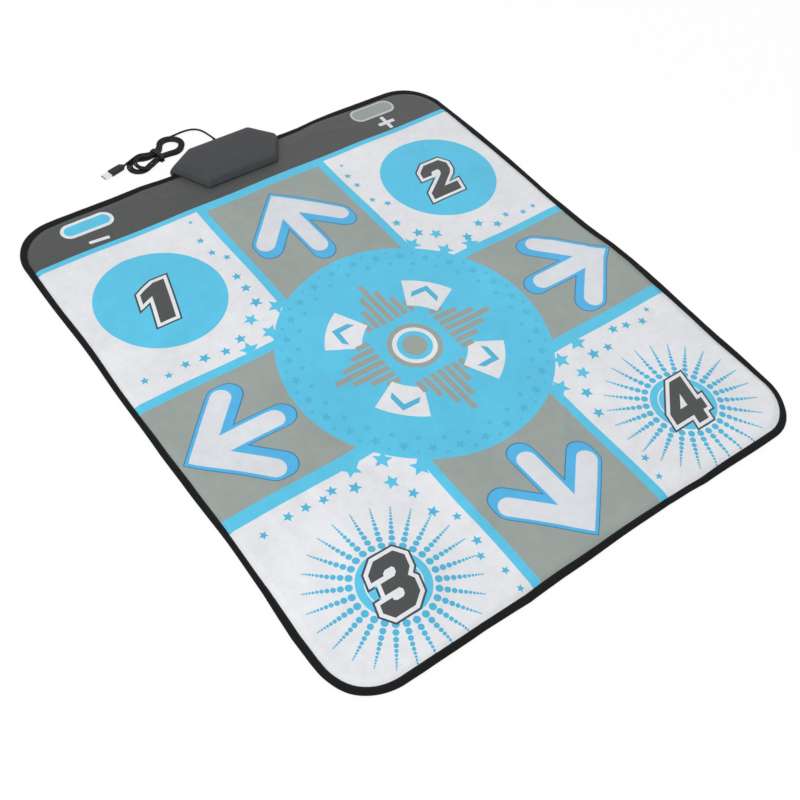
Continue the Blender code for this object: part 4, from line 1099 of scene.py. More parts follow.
@dataclass(frozen=True)
class PrintLayout:
    """The design on the printed sheet, from the floor of ink to the topmost."""

    header: float = 372.0
    header_line: Point = (362.0, 355.0)
    column: Point = (107.0, 121.0)
    rows: tuple[float, float, float, float] = (-175.0, -155.0, 52.0, 67.0)
    disc: tuple[Point, float] = ((0.0, -52.0), 205.0)
    star_rings: tuple[Point, ...] = ((186.0, 8.5), (170.0, 5.5), (194.0, 4.0))
    bars: tuple[float, ...] = (22.0, 40.0, 62.0, 84.0, 62.0, 40.0, 22.0)
    chevron: tuple[Point, ...] = ((0, 124), (-20, 105), (-20, 94), (0, 112), (20, 94), (20, 105))
    round_keys: tuple[Point, ...] = ((-261.0, 226.0), (265.0, 229.0))
    round_radius: float = 98.0
    bursts: tuple[Point, ...] = ((-261.8, -349.6), (255.4, -350.6))
    burst_rays: int = 26
    burst_shrink: float = 0.86
    arrow_tips: tuple[tuple[Point, float], ...] = (
        ((0.0, 331.0), 0.0), ((-377.0, -54.0), math.pi / 2), ((0.0, -435.0), math.pi),
        ((381.0, -55.0), -math.pi / 2),
    )
    arrow_bar: float = 14.7
    arrow_wing: Point = (70.0, -90.8)
    arrow_tail: float = -134.0
    digit_slant: float = 0.3
    star_seed: int = 11
    pill: Triple = (43.3, 16.0, 15.9)

    def shapes(self) -> Print:
        """Every printed shape, in the order of printing."""
        yield from self._fields()
        yield from self._middle_disc()
        yield from self._stars()
        for tip, heading in self.arrow_tips:
            yield from self._arrow(tip, heading)
        for spot, digit in zip(self.round_keys, "12"):
            yield Ink.SKY, circle(spot, self.round_radius)
            yield from self._digit(digit, (spot[0] - 4.0, spot[1] - 6.0))
        for spot, digit in zip(self.bursts, "34"):
            yield from self._burst(spot)
            yield from self._digit(digit, spot)
        yield from self._header_signs()

    def _fields(self) -> Print:
        """White cells, the grey column and row, the blue lines and the header band."""
        grey, blue = self.column
        y0, y1, y2, y3 = self.rows
        upper, lower = self.header_line
        side, end = RIM.half_width + 5.0, RIM.half_length + 5.0
        yield Ink.SKY, box(-blue, blue, -end, upper)
        yield Ink.SKY, box(-side, side, y0, y3)
        yield Ink.GREY, box(-side, side, y1, y2)
        yield Ink.GREY, box(-grey, grey, -end, lower)
        yield Ink.SKY, box(-side, side, upper, self.header)
        yield Ink.SLATE, box(-side, side, self.header, end)

    def _middle_disc(self) -> Print:
        """The blue disc with a tone-on-tone ring of stars and a level-meter rosette."""
        centre, radius = self.disc
        yield Ink.SKY, circle(centre, radius, 144)
        for ring, (reach, size) in enumerate(self.star_rings):
            for k in range(30):
                angle = 2.0 * math.pi * (k + 0.5 * (ring > 0)) / 30
                yield Ink.TONE, star(polar(centre, reach, angle), size, angle + 0.3 * ring)
        for quarter in range(4):
            for k, height in enumerate(self.bars):
                local = rounded_bar(((k - 3) * 13.0, 56.0 + height / 2), (4.6, height / 2), 2.2, 3)
                yield Ink.GREY, turned(local, quarter * math.pi / 2, centre)
            heading = (quarter + 0.5) * math.pi / 2
            yield Ink.WHITE, turned(self._ring_pad(78.0, 132.0, math.radians(34.0)), heading, centre)
            yield Ink.TONE, turned(self.chevron, heading, centre)
        for ink, reach in ((Ink.GREY, 42.0), (Ink.WHITE, 34.0), (Ink.SKY, 27.0), (Ink.GREY, 19.0)):
            yield ink, circle(centre, reach)

    @staticmethod
    def _ring_pad(inner: float, outer: float, spread: float) -> list[Point]:
        """A piece of a ring across the +y direction."""
        angles = [spread * (k / 8 - 0.5) for k in range(9)]
        turns = [(inner, angle) for angle in angles] + [(outer, -angle) for angle in angles]
        return [(reach * math.sin(angle), reach * math.cos(angle)) for reach, angle in turns]

    def _stars(self) -> Print:
        """Stars along the lines that border the white cells, larger towards the disc."""
        rng = random.Random(self.star_seed)
        for sx, way in ((-1, 1), (1, 1), (-1, -1), (1, -1)):
            spots = [(5.0, 54.0, 16.0), (41.0, 16.0, 15.0), (84.0, 4.0, 16.0), (52.0, 52.0, 12.0)]
            for k in range(7):
                near = 78.0 + 33.0 * k + rng.uniform(-9.0, 9.0)
                off = 14.0 + rng.uniform(-3.0, 26.0 - 2.4 * k)
                spots.append((off, near, 9.5 - 0.75 * k + rng.uniform(-1.0, 1.5)))
            for k in range(6):
                near = 92.0 + 27.0 * k + rng.uniform(-8.0, 8.0)
                off = 17.0 + rng.uniform(-4.0, 26.0 - 2.0 * k)
                spots.append((near, off, 10.5 - 0.9 * k + rng.uniform(-1.0, 1.5)))
            for across, along, size in spots:
                line = self.rows[3] if way > 0 else self.rows[0]
                spot = (sx * (self.column[1] + across), line + way * along)
                if self._star_fits(spot, size):
                    ink = Ink.SKY if size > 11.5 else Ink.TONE
                    yield ink, star(spot, size, rng.uniform(0.0, 2.0 * math.pi))

    def _star_fits(self, spot: Point, size: float) -> bool:
        """Whether a star keeps clear of the round keys, the bursts and the header."""
        keeps = ((self.round_radius + 3.0, self.round_keys), (108.0, self.bursts))
        clear = all(math.dist(spot, centre) >= keep + size for keep, centres in keeps for centre in centres)
        return clear and spot[1] <= self.header_line[0] - size - 4.0

    def _arrow(self, tip: Point, heading: float) -> Print:
        """A white arrow of three bars, its blue outline drawn out backwards, edged darker."""
        wing_x, wing_y = self.arrow_wing
        for ink, grow, trail in (
            (Ink.EDGE_BLUE, 6.1, 12.5), (Ink.DEEP_SKY, 4.6, 12.0), (Ink.ARROW_WHITE, 0.0, 0.0),
        ):
            radius = self.arrow_bar + grow
            half = [(0.0, grow * math.sqrt(2.0))]
            for first, last, down in ((45.0, 0.0, 0.0), (0.0, -135.0, trail)):
                steps = max(round(abs(last - first) / 15.0), 3)
                angles = (math.radians(first + (last - first) * k / steps) for k in range(steps + 1))
                half += [polar((wing_x, wing_y - down), radius, angle) for angle in angles]
            half.append((radius, wing_x + wing_y - trail - math.sqrt(2.0) * radius - radius))
            tail = (0.0, self.arrow_tail - trail)
            half += [polar(tail, radius, math.radians(-15.0 * k)) for k in range(7)]
            mirrored = [(-x, y) for x, y in half[1:-1][::-1]]
            yield ink, turned((half + mirrored)[::-1], heading, tip)

    def _burst(self, centre: Point) -> Print:
        """A ringed disc with rays of shrinking dots."""
        for ink, reach in ((Ink.SKY, 48.0), (Ink.WHITE, 37.0), (Ink.SKY, 35.2)):
            yield ink, circle(centre, reach)
        for ray in range(self.burst_rays):
            angle = 2.0 * math.pi * ray / self.burst_rays
            reach, size = 55.5, 5.1
            while size > 1.05:
                yield Ink.TONE, circle(polar(centre, reach, angle), size, 12 if size > 2.5 else 7)
                reach += 1.09 * (size + size * self.burst_shrink)
                size *= self.burst_shrink

    def _digit(self, digit: str, centre: Point) -> Print:
        """A slanted block digit with a white band and a dark line round it."""
        solid, *holes = [
            [(centre[0] + x + self.digit_slant * y, centre[1] + y) for x, y in outline]
            for outline in DIGITS[digit]
        ]
        yield Ink.OUTLINE, grown(solid, 8.2)
        yield Ink.WHITE, grown(solid, 5.4)
        yield Ink.CHARCOAL, solid
        for hole in holes:
            yield Ink.WHITE, hole

    def _header_signs(self) -> Print:
        """The two pill keys' print and the minus and plus signs in front of them."""
        half_width, half_height, radius = self.pill
        for spot, ring, rim, fill in (
            ((-278.5, 422.7), 5.6, Ink.WHITE, Ink.SKY), ((272.6, 428.6), 3.8, Ink.PALE, Ink.GREY),
        ):
            yield rim, rounded_bar(spot, (half_width, half_height), radius)
            yield fill, rounded_bar(spot, (half_width - ring, half_height - ring), radius - ring)
        minus = rounded_bar((0.0, 0.0), (16.3, 3.1), 1.2, 2)
        yield Ink.WHITE, turned(minus, math.radians(-4.5), (-277.8, 384.4))
        for half in ((16.2, 3.5), (3.5, 16.2)):
            yield Ink.WHITE, rounded_bar((275.5, 392.2), half, 1.2, 2)


@dataclass
class PrintedSheet:
    """The printed sheet and its ten key patches, cut from one net of triangles.

    The patches meet the sheet corner to corner, so at rest they read as one cloth.
    """

    thickness: float = 0.5
    grid: float = 5.5
    hem: float = 1.7
    clear: float = 2.2
    ring_insets: tuple[float, ...] = (7.4, 10.0, 11.6, 13.4, 15.4, 17.6, 20.2, 23.2, 26.4)
    pressed_share: float = 0.1
    layout: PrintLayout = field(default_factory=PrintLayout)
    ribbon_slot: tuple[float, float, float, float] = (-39.0, 21.0, 424.8, 429.8)
    bolt_holes: tuple[Point, ...] = ((-45.0, 421.0), (27.0, 421.0))
    bolt_radius: float = 3.8

    def build(self) -> None:
        points, triangles, inks, owners = self._net(list(self.layout.shapes()))
        spots = np.column_stack([RIM.wander(points), SURFACE.height(points)])
        normals = SURFACE.normals(points)
        for number, key in enumerate(FIELDS.all):
            mine = owners == number
            name = f"printed_patch_{key.name}"
            patch = closed_cloth(name, spots, normals, triangles[mine], self.thickness, inks[mine])
            dress(patch, CLOTH, key.slot)
            key.joint
            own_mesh(patch)
            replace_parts(patch, key.node)
        rest = owners < 0
        sheet = closed_cloth(
            "printed_sheet", spots, normals, triangles[rest], self.thickness, inks[rest]
        )
        dress(sheet, CLOTH, "printed_cloth")
        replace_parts(sheet, "top_cover")
        area = flat_area(points, triangles[rest])

    def _net(
        self, shapes: list[tuple[Ink, Sequence[Point]]]
    ) -> tuple[np.ndarray, np.ndarray, np.ndarray, np.ndarray]:
        """Cuts the sheet's net of triangles along every printed line and key field.

        Args:
            shapes: the printed shapes in the order of printing.

        Returns:
            The points, the triangles, the ink colour of each and the number of its key's
            field, or -1 on the sheet.
        """
        outlines = [hemmed_rim(self.grid, self.hem), *(points for _, points in shapes)]
        first_hole = len(outlines)
        outlines.append(box(*self.ribbon_slot))
        outlines += [circle(hole, self.bolt_radius, 16) for hole in self.bolt_holes]
        first_key = len(outlines)
        outlines += [FIELDS.outline(key) for key in FIELDS.all]
        points, faces, sources = cloth_net(outlines, self.grid, self.ring_insets, self.clear)
        triangles, inks, owners = [], [], []
        colours = [Ink.WHITE.paint(), *(ink.paint() for ink, _ in shapes)]
        for corners, source in zip(faces, sources):
            if 0 not in source or any(first_hole <= s < first_key for s in source):
                continue
            triangles.append(corners)
            inks.append(colours[max(s for s in source if s < first_hole)])
            owners.append(max(source) - first_key if max(source) >= first_key else -1)
        return points, np.array(triangles), np.array(inks), np.array(owners)


def hemmed_rim(spacing: float, hem: float) -> list[Point]:
    """The mat's outline drawn in by the hem, as points."""
    rim, outward = RIM.stations(spacing)
    return [tuple(p) for p in rim - outward * hem]


def flat_area(points: np.ndarray, triangles: np.ndarray) -> float:
    """The area of a flat net of triangles, in square millimetres."""
    a, b, c = points[triangles].transpose(1, 0, 2)
    return float(np.abs(np.cross(b - a, c - a)).sum() / 2)


def cloth_net(
    outlines: Sequence[Sequence[Point]], grid: float, ring_insets: Sequence[float], clear: float
) -> tuple[np.ndarray, list[list[int]], list[list[int]]]:
    """Fills the mat's outline with even triangles that keep to every given outline.

    Args:
        outlines: closed outlines, the cloth's own rim first.
        grid: about how long a triangle's side is.
        ring_insets: the distances inside the mat's outline that get rings of points.
        clear: how far loose points stay from an outline's points.

    Returns:
        The points, the triangles, and for each triangle the numbers of the outlines
        that it lies in.
    """
    points: list[Point] = []
    faces: list[list[int]] = []
    for outline in outlines:
        fine = subdivided(outline, grid)
        faces.append(list(range(len(points), len(points) + len(fine))))
        points += fine
    tree = KDTree(len(points))
    for k, (x, y) in enumerate(points):
        tree.insert((x, y, 0.0), k)
    tree.balance()
    rim, outward = RIM.stations(grid)
    rings = [rim - outward * inset for inset in ring_insets]
    for x, y in np.vstack([*rings, RIM.grid(grid, grid, ring_insets[-1] + 2.0)]):
        if tree.find((x, y, 0.0))[2] > clear:
            points.append((float(x), float(y)))
    made = delaunay_2d_cdt([Vector(p) for p in points], [], faces, 1, 1e-4, True)
    return np.array([tuple(v) for v in made[0]]), made[2], made[5]


def subdivided(outline: Sequence[Point], grid: float) -> list[Point]:
    """Adds points along an outline's long sides."""
    fine = []
    for k, (x0, y0) in enumerate(outline):
        x1, y1 = outline[(k + 1) % len(outline)]
        parts = max(math.ceil(math.dist((x0, y0), (x1, y1)) / grid), 1)
        fine += [(x0 + (x1 - x0) * s / parts, y0 + (y1 - y0) * s / parts) for s in range(parts)]
    return fine


def closed_cloth(
    name: str, spots: np.ndarray, normals: np.ndarray, triangles: np.ndarray, thickness: float,
    inks: np.ndarray | None = None,
) -> Piece:
    """Gives a net of triangles its thickness: top, underside and the cut edges between.

    Args:
        name: the piece's name.
        spots: the net's points on the cloth's top, in millimetres.
        normals: the top's unit normals there.
        triangles: the corners of each triangle.
        thickness: the cloth's thickness.
        inks: a colour for each triangle, kept as the `ink` attribute.

    Returns:
        The closed piece.
    """
    used, top = np.unique(triangles, return_inverse=True)
    top, count = top.reshape(-1, 3), len(used)
    spots, normals = spots[used], normals[used]
    under = top[:, ::-1] + count
    sides = np.vstack([top[:, [0, 1]], top[:, [1, 2]], top[:, [2, 0]]])
    rim = ~np.isin(sides[:, 0] * count + sides[:, 1], sides[:, 1] * count + sides[:, 0])
    a, b = sides[rim].T
    walls = np.vstack([np.column_stack([a, a + count, b + count]), np.column_stack([a, b + count, b])])
    faces = np.vstack([top, under, walls])
    points = np.vstack([spots, spots - (0.0, 0.0, thickness)]) * MM
    outward = np.cross(points[walls[:, 1]] - points[walls[:, 0]], points[walls[:, 2]] - points[walls[:, 0]])
    outward /= np.maximum(np.linalg.norm(outward, axis=1), 1e-12)[:, None]
    above, below = normals[top.ravel()], -normals[top[:, ::-1].ravel()]
    loop_normals = np.vstack([above, below, np.repeat(outward, 3, 0)])
    mesh = bpy.data.meshes.new(name)
    mesh.vertices.add(len(points))
    mesh.vertices.foreach_set("co", points.astype(np.float32).ravel())
    mesh.loops.add(faces.size)
    mesh.loops.foreach_set("vertex_index", faces.astype(np.int32).ravel())
    mesh.polygons.add(len(faces))
    mesh.polygons.foreach_set("loop_start", np.arange(0, faces.size, 3, dtype=np.int32))
    mesh.update(calc_edges=True)
    mesh.polygons.foreach_set("use_smooth", np.ones(len(faces), bool))
    if inks is not None:
        cut = np.tile(inks, (3, 1))[rim]
        colours = np.vstack([inks, np.tile(Ink.WHITE.paint(), (len(under), 1)), cut, cut])
        ink = mesh.color_attributes.new("ink", "FLOAT_COLOR", "CORNER")
        ink.data.foreach_set("color", np.repeat(colours, 3, 0).astype(np.float32).ravel())
    mesh.normals_split_custom_set(loop_normals.tolist())
    return new_piece(name, mesh)


# The edge tape and the underside


@dataclass
class EdgeTape:
    """The woven tape folded round the mat's rim, and its two lines of stitches."""

    section: tuple[Point, ...] = (
        (9.8, 0.45), (7.0, 0.25), (3.2, 0.25), (1.3, 0.4), (0.45, 1.0), (0.05, 2.1), (0.0, 3.3),
        (0.35, 4.5), (1.3, 5.35), (3.2, 5.75), (6.8, 5.8), (9.3, 5.7), (9.9, 5.35), (9.6, 4.9),
        (6.8, 4.85), (2.4, 4.8), (1.1, 3.9), (1.1, 1.9), (2.4, 1.0), (9.6, 0.95),
    )
    spacing: float = 2.0
    seam_inset: float = 8.0
    stitch_pitch: float = 3.2
    stitch_half: float = 1.25
    stitch_radius: float = 0.33
    stitch_end: float = 0.12
    stitch_levels: Point = (5.86, 0.3)
    seam_follow: float = 0.87

    def build(self) -> None:
        """Builds and dresses the tape and its stitches."""
        rim, outward = RIM.stations(self.spacing)
        steps = np.linalg.norm(np.roll(rim, -1, 0) - rim, axis=1)
        along = np.concatenate([[0.0], np.cumsum(steps)])
        run = along[:-1]
        swell = 0.5 + 0.5 * np.sin(run / 9.0 + 1.6 * np.sin(run / 61.0)) * np.sin(run / 23.0 + 0.6)
        wider = RIM.flap_of(rim)
        rings = []
        for inset, z in self.section:
            flap = np.clip((inset - 1.0) / 8.0, 0.0, 1.0)
            reach = inset + flap * (0.45 * np.sin(run / 31.0 + np.sin(run / 117.0)) + wider * (z > 4.6))
            level = z + (0.35 * (swell - 0.4) * (z > 4.0) * (1.0 - 0.4 * flap))
            rings.append(np.column_stack([RIM.wander(rim - outward * reach[:, None]), level]))
        points = np.stack(rings, 1)
        faces = [face[::-1] for face in ring_faces(*points.shape[:2], closed=True)]
        tape = mesh_piece("edge_tape", points.reshape(-1, 3), faces)
        self._map(tape, along)
        dress(tape, TAPE, "binding_tape", smooth=50.0)
        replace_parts(tape, "edge_binding")
        dress(self._stitches(), THREAD, "binding_tape", smooth=70.0)

    def _map(self, tape: Piece, along: np.ndarray) -> None:
        """Lays the tape's weave along it: the map holds metres across and along."""
        widths = [math.dist(a, b) for a, b in zip(self.section, self.section[1:] + self.section[:1])]
        across = np.concatenate([[0.0], np.cumsum(widths)])
        layer = tape.data.uv_layers.new(name="tape")
        corners = [
            corner
            for start, end in zip(along, along[1:])
            for near, far in zip(across, across[1:])
            for corner in ((near, end), (far, end), (far, start), (near, start))
        ]
        layer.data.foreach_set("uv", (np.array(corners) * MM).astype(np.float32).ravel())

    def _stitches(self) -> Piece:
        """A thread that dips in and out of the tape, above and below."""
        rim, outward = RIM.stations(self.stitch_pitch)
        half, radius, end = self.stitch_half, self.stitch_radius, self.stitch_end
        profile = [(-half, end), (-half * 0.6, radius), (half * 0.6, radius), (half, end)]
        ring = [(1.0, 0.0), (0.0, 1.0), (-1.0, 0.0), (0.0, -1.0)]
        shape = np.array([(x, r * c, r * s) for x, r in profile for c, s in ring])
        quads = ring_faces(len(profile), len(ring), closed=False)
        points, faces = [], []
        upper, lower = self.stitch_levels
        for level, wider in ((upper, self.seam_follow * RIM.flap_of(rim)[:, None]), (lower, 0.0)):
            spots = RIM.wander(rim - outward * (self.seam_inset + wider))
            ahead = np.roll(spots, -1, 0) - spots
            ahead /= np.linalg.norm(ahead, axis=1)[:, None]
            side = np.column_stack([-ahead[:, 1], ahead[:, 0]])
            for spot, forward, sideways in zip(spots, ahead, side):
                first = len(points) * len(shape)
                flat = spot + shape[:, :1] * forward + shape[:, 1:2] * sideways
                points.append(np.column_stack([flat, level + shape[:, 2]]))
                faces += [tuple(first + c for c in quad[::-1]) for quad in quads]
        return mesh_piece("edge_stitches", np.vstack(points), faces)


@dataclass
class AntiSlipCover:
    """The knitted cover under the mat with its rubber dots."""

    thickness: float = 0.8
    top_level: float = 1.2
    rim_level: float = 1.85
    hem: float = 1.7
    ramp: Point = (10.2, 13.0)
    grid: float = 16.0
    window: tuple[float, float, float, float] = (-53.0, 35.0, 407.0, 435.0)
    dot_pitch: float = 12.0
    dot_radius: float = 1.9
    dot_sides: int = 6
    dot_edge: Point = (0.95, 0.15)
    dot_flat: float = 0.62
    window_clear: float = 4.0

    def build(self) -> None:
        outlines = [hemmed_rim(self.grid, self.hem), box(*self.window)]
        points, faces, sources = cloth_net(outlines, self.grid, (6.0, *self.ramp), 2.0)
        triangles = np.array([f for f, s in zip(faces, sources) if 0 in s and 1 not in s])
        share = np.clip((RIM.inset_of(points) - self.ramp[0]) / (self.ramp[1] - self.ramp[0]), 0.0, 1.0)
        level = self.rim_level + (self.top_level - self.rim_level) * share
        spots = np.column_stack([RIM.wander(points), level])
        upright = np.tile(Z_AXIS, (len(points), 1))
        cover = closed_cloth("anti_slip_sheet", spots, upright, triangles, self.thickness)
        dress(cover, COVER, "anti_slip_cover")
        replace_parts(cover, "bottom_cover")
        dots = self._dots()
        dress(dots, GRIP_DOT, "anti_slip_cover", smooth=60.0)
        area = flat_area(points, triangles)

    def _dots(self) -> Piece:
        """Low rubber dots in a staggered pattern, down to the floor."""
        pitch, radius, sides = self.dot_pitch, self.dot_radius, self.dot_sides
        x0, x1, y0, y1 = self.window
        clear = self.window_clear
        spots = RIM.grid(pitch, pitch * math.sqrt(0.75), self.ramp[1] + radius + 1.0)
        near = (spots[:, 0] > x0 - clear) & (spots[:, 0] < x1 + clear)
        near &= (spots[:, 1] > y0 - clear) & (spots[:, 1] < y1 + clear)
        spots = spots[~near]
        base, (edge, level) = self.top_level - self.thickness + 0.1, self.dot_edge
        levels = ((radius, base), (radius * edge, level), (radius * self.dot_flat, 0.0))
        shape = np.array([(*spot, z) for reach, z in levels for spot in circle((0.0, 0.0), reach, sides)])
        points = np.column_stack([spots, np.zeros(len(spots))])[:, None] + shape
        quads = [face[::-1] for face in ring_faces(len(levels), sides, closed=False)]
        faces = [tuple(k * len(shape) + c for c in quad) for k in range(len(spots)) for quad in quads]
        return mesh_piece("grip_dots", points.reshape(-1, 3), faces)


# The control box


@dataclass
class ControlBox:
    """The six-sided box over the mat's rear edge: lid, tray, screws and cable sleeve.

    Posts and bores stand on the screws' axes and are given as (start, length).
    """

    middle_x: float = -9.0
    front: float = 400.0
    rear: float = 498.5
    outline: tuple[Point, ...] = (
        (57.5, 400.0), (92.0, 455.0), (57.0, 498.5), (-61.0, 498.5), (-110.0, 469.5), (-75.5, 400.0),
    )
    corner_radii: tuple[float, ...] = (6.5, 3.6, 6.5, 6.5, 3.6, 6.5)
    corner_steps: int = 7
    wall: float = 2.2
    shell_gap: float = 0.3
    foot: tuple[Point, ...] = ((0.0, 2.2), (-1.2, 0.4), (0.3, 0.6))
    wall_slope: float = math.radians(61.1)
    shoulder: tuple[float, float, int] = (6.9, math.radians(10.0), 8)
    crown: tuple[Triple, ...] = (
        (0.55, 0.965, 0.925), (0.4, 0.945, 0.88), (0.25, 0.93, 0.84), (0.15, 0.85, 0.7),
    )
    tray_front: float = 463.2
    tray_steps: tuple[Point, ...] = ((0.0, 4.1), (0.5, 2.0), (1.3, 1.2))
    boss_radius: float = 3.2
    boss_feet: Point = (6.6, 4.4)
    boss_under: float = 3.0
    post: Point = (1.0, 3.1)
    bore_radius: float = 1.5
    lid_bore: Point = (2.0, 12.0)
    tray_bore: Point = (0.5, 5.5)
    head_recess: Point = (2.8, 1.8)
    cable_bore: float = 2.9
    screw_head: tuple[Point, ...] = (
        (0.3, 0.0), (0.3, 1.5), (0.42, 2.0), (0.75, 2.35), (1.5, 2.4), (1.5, 1.25),
    )
    screw_thread: tuple[Point, ...] = ((2.3, 0.98), (2.85, 1.25))
    thread_turns: int = 9
    thread_pitch: float = 1.1
    screw_tip: tuple[Point, ...] = ((12.6, 0.95), (13.4, 0.0))
    screw_turn: float = 37.0
    blade: Triple = (2.9, 0.62, 1.5)
    blade_level: float = 0.45
    blade_tapers: Point = (0.55, 0.8)
    sleeve_end: float = 508.0
    sleeve_ribs: int = 4
    rib: tuple[Point, ...] = ((0.0, 0.5), (0.35, 0.5), (0.45, 0.0), (0.85, 0.03), (0.95, 0.5))

    def build(self) -> None:
        """Builds and dresses the box's pieces."""
        self.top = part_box("box_top_shell")[1].z / MM
        self.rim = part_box("box_bottom_shell")[1].z / MM + self.shell_gap
        self.spots = [node_middle(f"box_screw_{number}") for number in range(1, 5)]
        self.exit = node_middle("cable_grommet")
        self._lid()
        self._tray()
        self._screws()
        self._sleeve()

    def corners(self, inset: float = 0.0) -> list[Point]:
        """The box's six corners, counter-clockwise, on an outline that lies `inset` inside."""
        return grown(self.outline, -inset)

    def _lid(self) -> None:
        """The upper shell: a shadow gap, sloping walls, a round shoulder and a crown."""
        lid = start_face("control_box_lid", self.corners(-self.foot[1][0]), self.rim)
        bend, last, turns = self.shoulder
        step = (self.wall_slope - last) / turns
        angles = [self.wall_slope - step * (k + 0.5) for k in range(turns)]
        arc = [(bend * step * math.cos(angle), bend * step * math.sin(angle)) for angle in angles]
        over = sum(rise for _, rise in (*self.foot, *arc)) + sum(rise for rise, _, _ in self.crown)
        wall_rise = self.top - self.rim - over
        with Bench(lid) as bench:
            raise_face([*self.foot, (wall_rise / math.tan(self.wall_slope), wall_rise), *arc])
            self._round_corners(bench)
            bench.pick(Part.FACES, lambda face: face.calc_center_median().z > (self.top - 1.4) * MM)
            middle = Vector((self.middle_x, (self.front + self.rear) / 2, 0.0)) * MM
            for rise, wide, deep in self.crown:
                extrude((0.0, 0.0, rise * MM))
                bpy.ops.transform.resize(value=(wide, deep, 1.0), center_override=middle)
        self._hollow(lid)
        front_foot, rear_foot = self.boss_feet
        for spot in self.spots:
            foot = front_foot if spot.y < self.tray_front else rear_foot
            self._drill(lid, spot, foot, self.top - self.boss_under - foot, self.boss_radius, "UNION")
        for spot in self.spots:
            self._drill(lid, spot, *self.lid_bore, self.bore_radius)
        self._cut_exit(lid)
        dress(lid, BOX_PLASTIC, "box_plastic", smooth=32.0)
        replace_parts(lid, "box_top_shell")

    def _round_corners(self, bench: Bench) -> None:
        """Rounds the lid's six corners, each from the foot up into the shoulder."""
        corners = [Vector(corner) for corner in self.corners()]
        for k, corner in enumerate(corners):
            before, after = corners[k - 1] - corner, corners[(k + 1) % len(corners)] - corner
            offset = self.corner_radii[k] / math.tan(before.angle(after) / 2)

            def stands(edge: bmesh.types.BMEdge, spot: Vector = corner) -> bool:
                """Whether an edge runs up the lid near this corner."""
                a, b = (vert.co / MM for vert in edge.verts)
                return abs(a.z - b.z) > 0.02 and (a.xy - spot).length < 20.0

            bench.pick(Part.EDGES, stands)
            bpy.ops.mesh.bevel(
                offset=offset * MM, segments=self.corner_steps, affect="EDGES", clamp_overlap=False
            )

    def _hollow(self, shell: Piece) -> None:
        """Gives a shell its wall, inwards."""
        finish_modifier(shell, "SOLIDIFY", thickness=self.wall * MM, offset=-1.0, use_even_offset=True)

    @staticmethod
    def _drill(
        shell: Piece, spot: Vector, start: float, length: float, radius: float, operation: str = "DIFFERENCE"
    ) -> None:
        """Cuts a round hole up the axis of a screw, or adds a post there."""
        combine(shell, drum("drill", Vector((spot.x, spot.y, start)), Z_AXIS, radius, length), operation)

    def _cut_exit(self, shell: Piece) -> None:
        """Cuts the round way out for the cable's sleeve, half of it in each shell."""
        base = Vector((self.exit.x, self.rear - 8.0, self.exit.z))
        combine(shell, drum("cable_bore", base, Y_AXIS, self.cable_bore, 14.0))

    def _tray(self) -> None:
        """The lower shell behind the mat's edge, with posts and sunk screw heads."""
        rim = self.rim - self.shell_gap
        outline = rounded_corners(self.corners(), self.corner_radii, self.corner_steps)
        tray = start_face("control_box_tray", outline, rim, down=True)
        with Bench(tray) as bench:
            raise_face(self.tray_steps)
            bench.pick(Part.EDGES, lambda edge: len(edge.link_faces) == 1)
            bpy.ops.mesh.edge_face_add()
            bench.everything()
            bpy.ops.mesh.bisect(
                plane_co=(0.0, self.tray_front * MM, 0.0), plane_no=-Y_AXIS, use_fill=True, clear_outer=True
            )
            bench.pick(Part.FACES, lambda face: face.calc_center_median().z > (rim - 0.01) * MM)
            bpy.ops.mesh.delete(type="FACE")
            bench.everything()
            bpy.ops.mesh.normals_make_consistent(inside=False)
        self._hollow(tray)
        recess, depth = self.head_recess
        for spot in (s for s in self.spots if s.y > self.tray_front):
            self._drill(tray, spot, *self.post, self.boss_radius, "UNION")
            self._drill(tray, spot, -1.0, depth + 1.0, recess)
            self._drill(tray, spot, *self.tray_bore, self.bore_radius)
        self._cut_exit(tray)
        dress(tray, BOX_PLASTIC, "box_plastic", smooth=32.0)
        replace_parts(tray, "box_bottom_shell")

    def _screws(self) -> None:
        """Four like pan-head screws with cross recesses, driven from below."""
        thread = [
            (along + turn * self.thread_pitch, radius)
            for turn in range(self.thread_turns)
            for along, radius in self.screw_thread
        ]
        first = spun("case_screw_1", [*self.screw_head, *thread, *self.screw_tip], Vector(), Z_AXIS, 20)
        for turn, taper in ((0.0, self.blade_tapers), (90.0, self.blade_tapers[::-1])):
            blade = block("driver_blade", self.blade, turn=turn)
            with Bench(blade) as bench:
                bench.pick(Part.FACES, lambda face: face.normal.z > 0.9)
                bpy.ops.transform.resize(value=(*taper, 1.0))
            blade.data.transform(Matrix.Translation(Z_AXIS * self.blade_level * MM))
            combine(first, blade)
        screws = [first, *(new_piece(f"case_screw_{number}", first.data.copy()) for number in (2, 3, 4))]
        for number, (screw, spot) in enumerate(zip(screws, self.spots), 1):
            angle = Matrix.Rotation(math.radians(self.screw_turn * number), 4, "Z")
            screw.data.transform(Matrix.Translation(Vector((spot.x, spot.y, 0.0)) * MM) @ angle)
            dress(screw, SCREW_STEEL, "screw_steel", smooth=35.0)
            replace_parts(screw, f"box_screw_{number}")

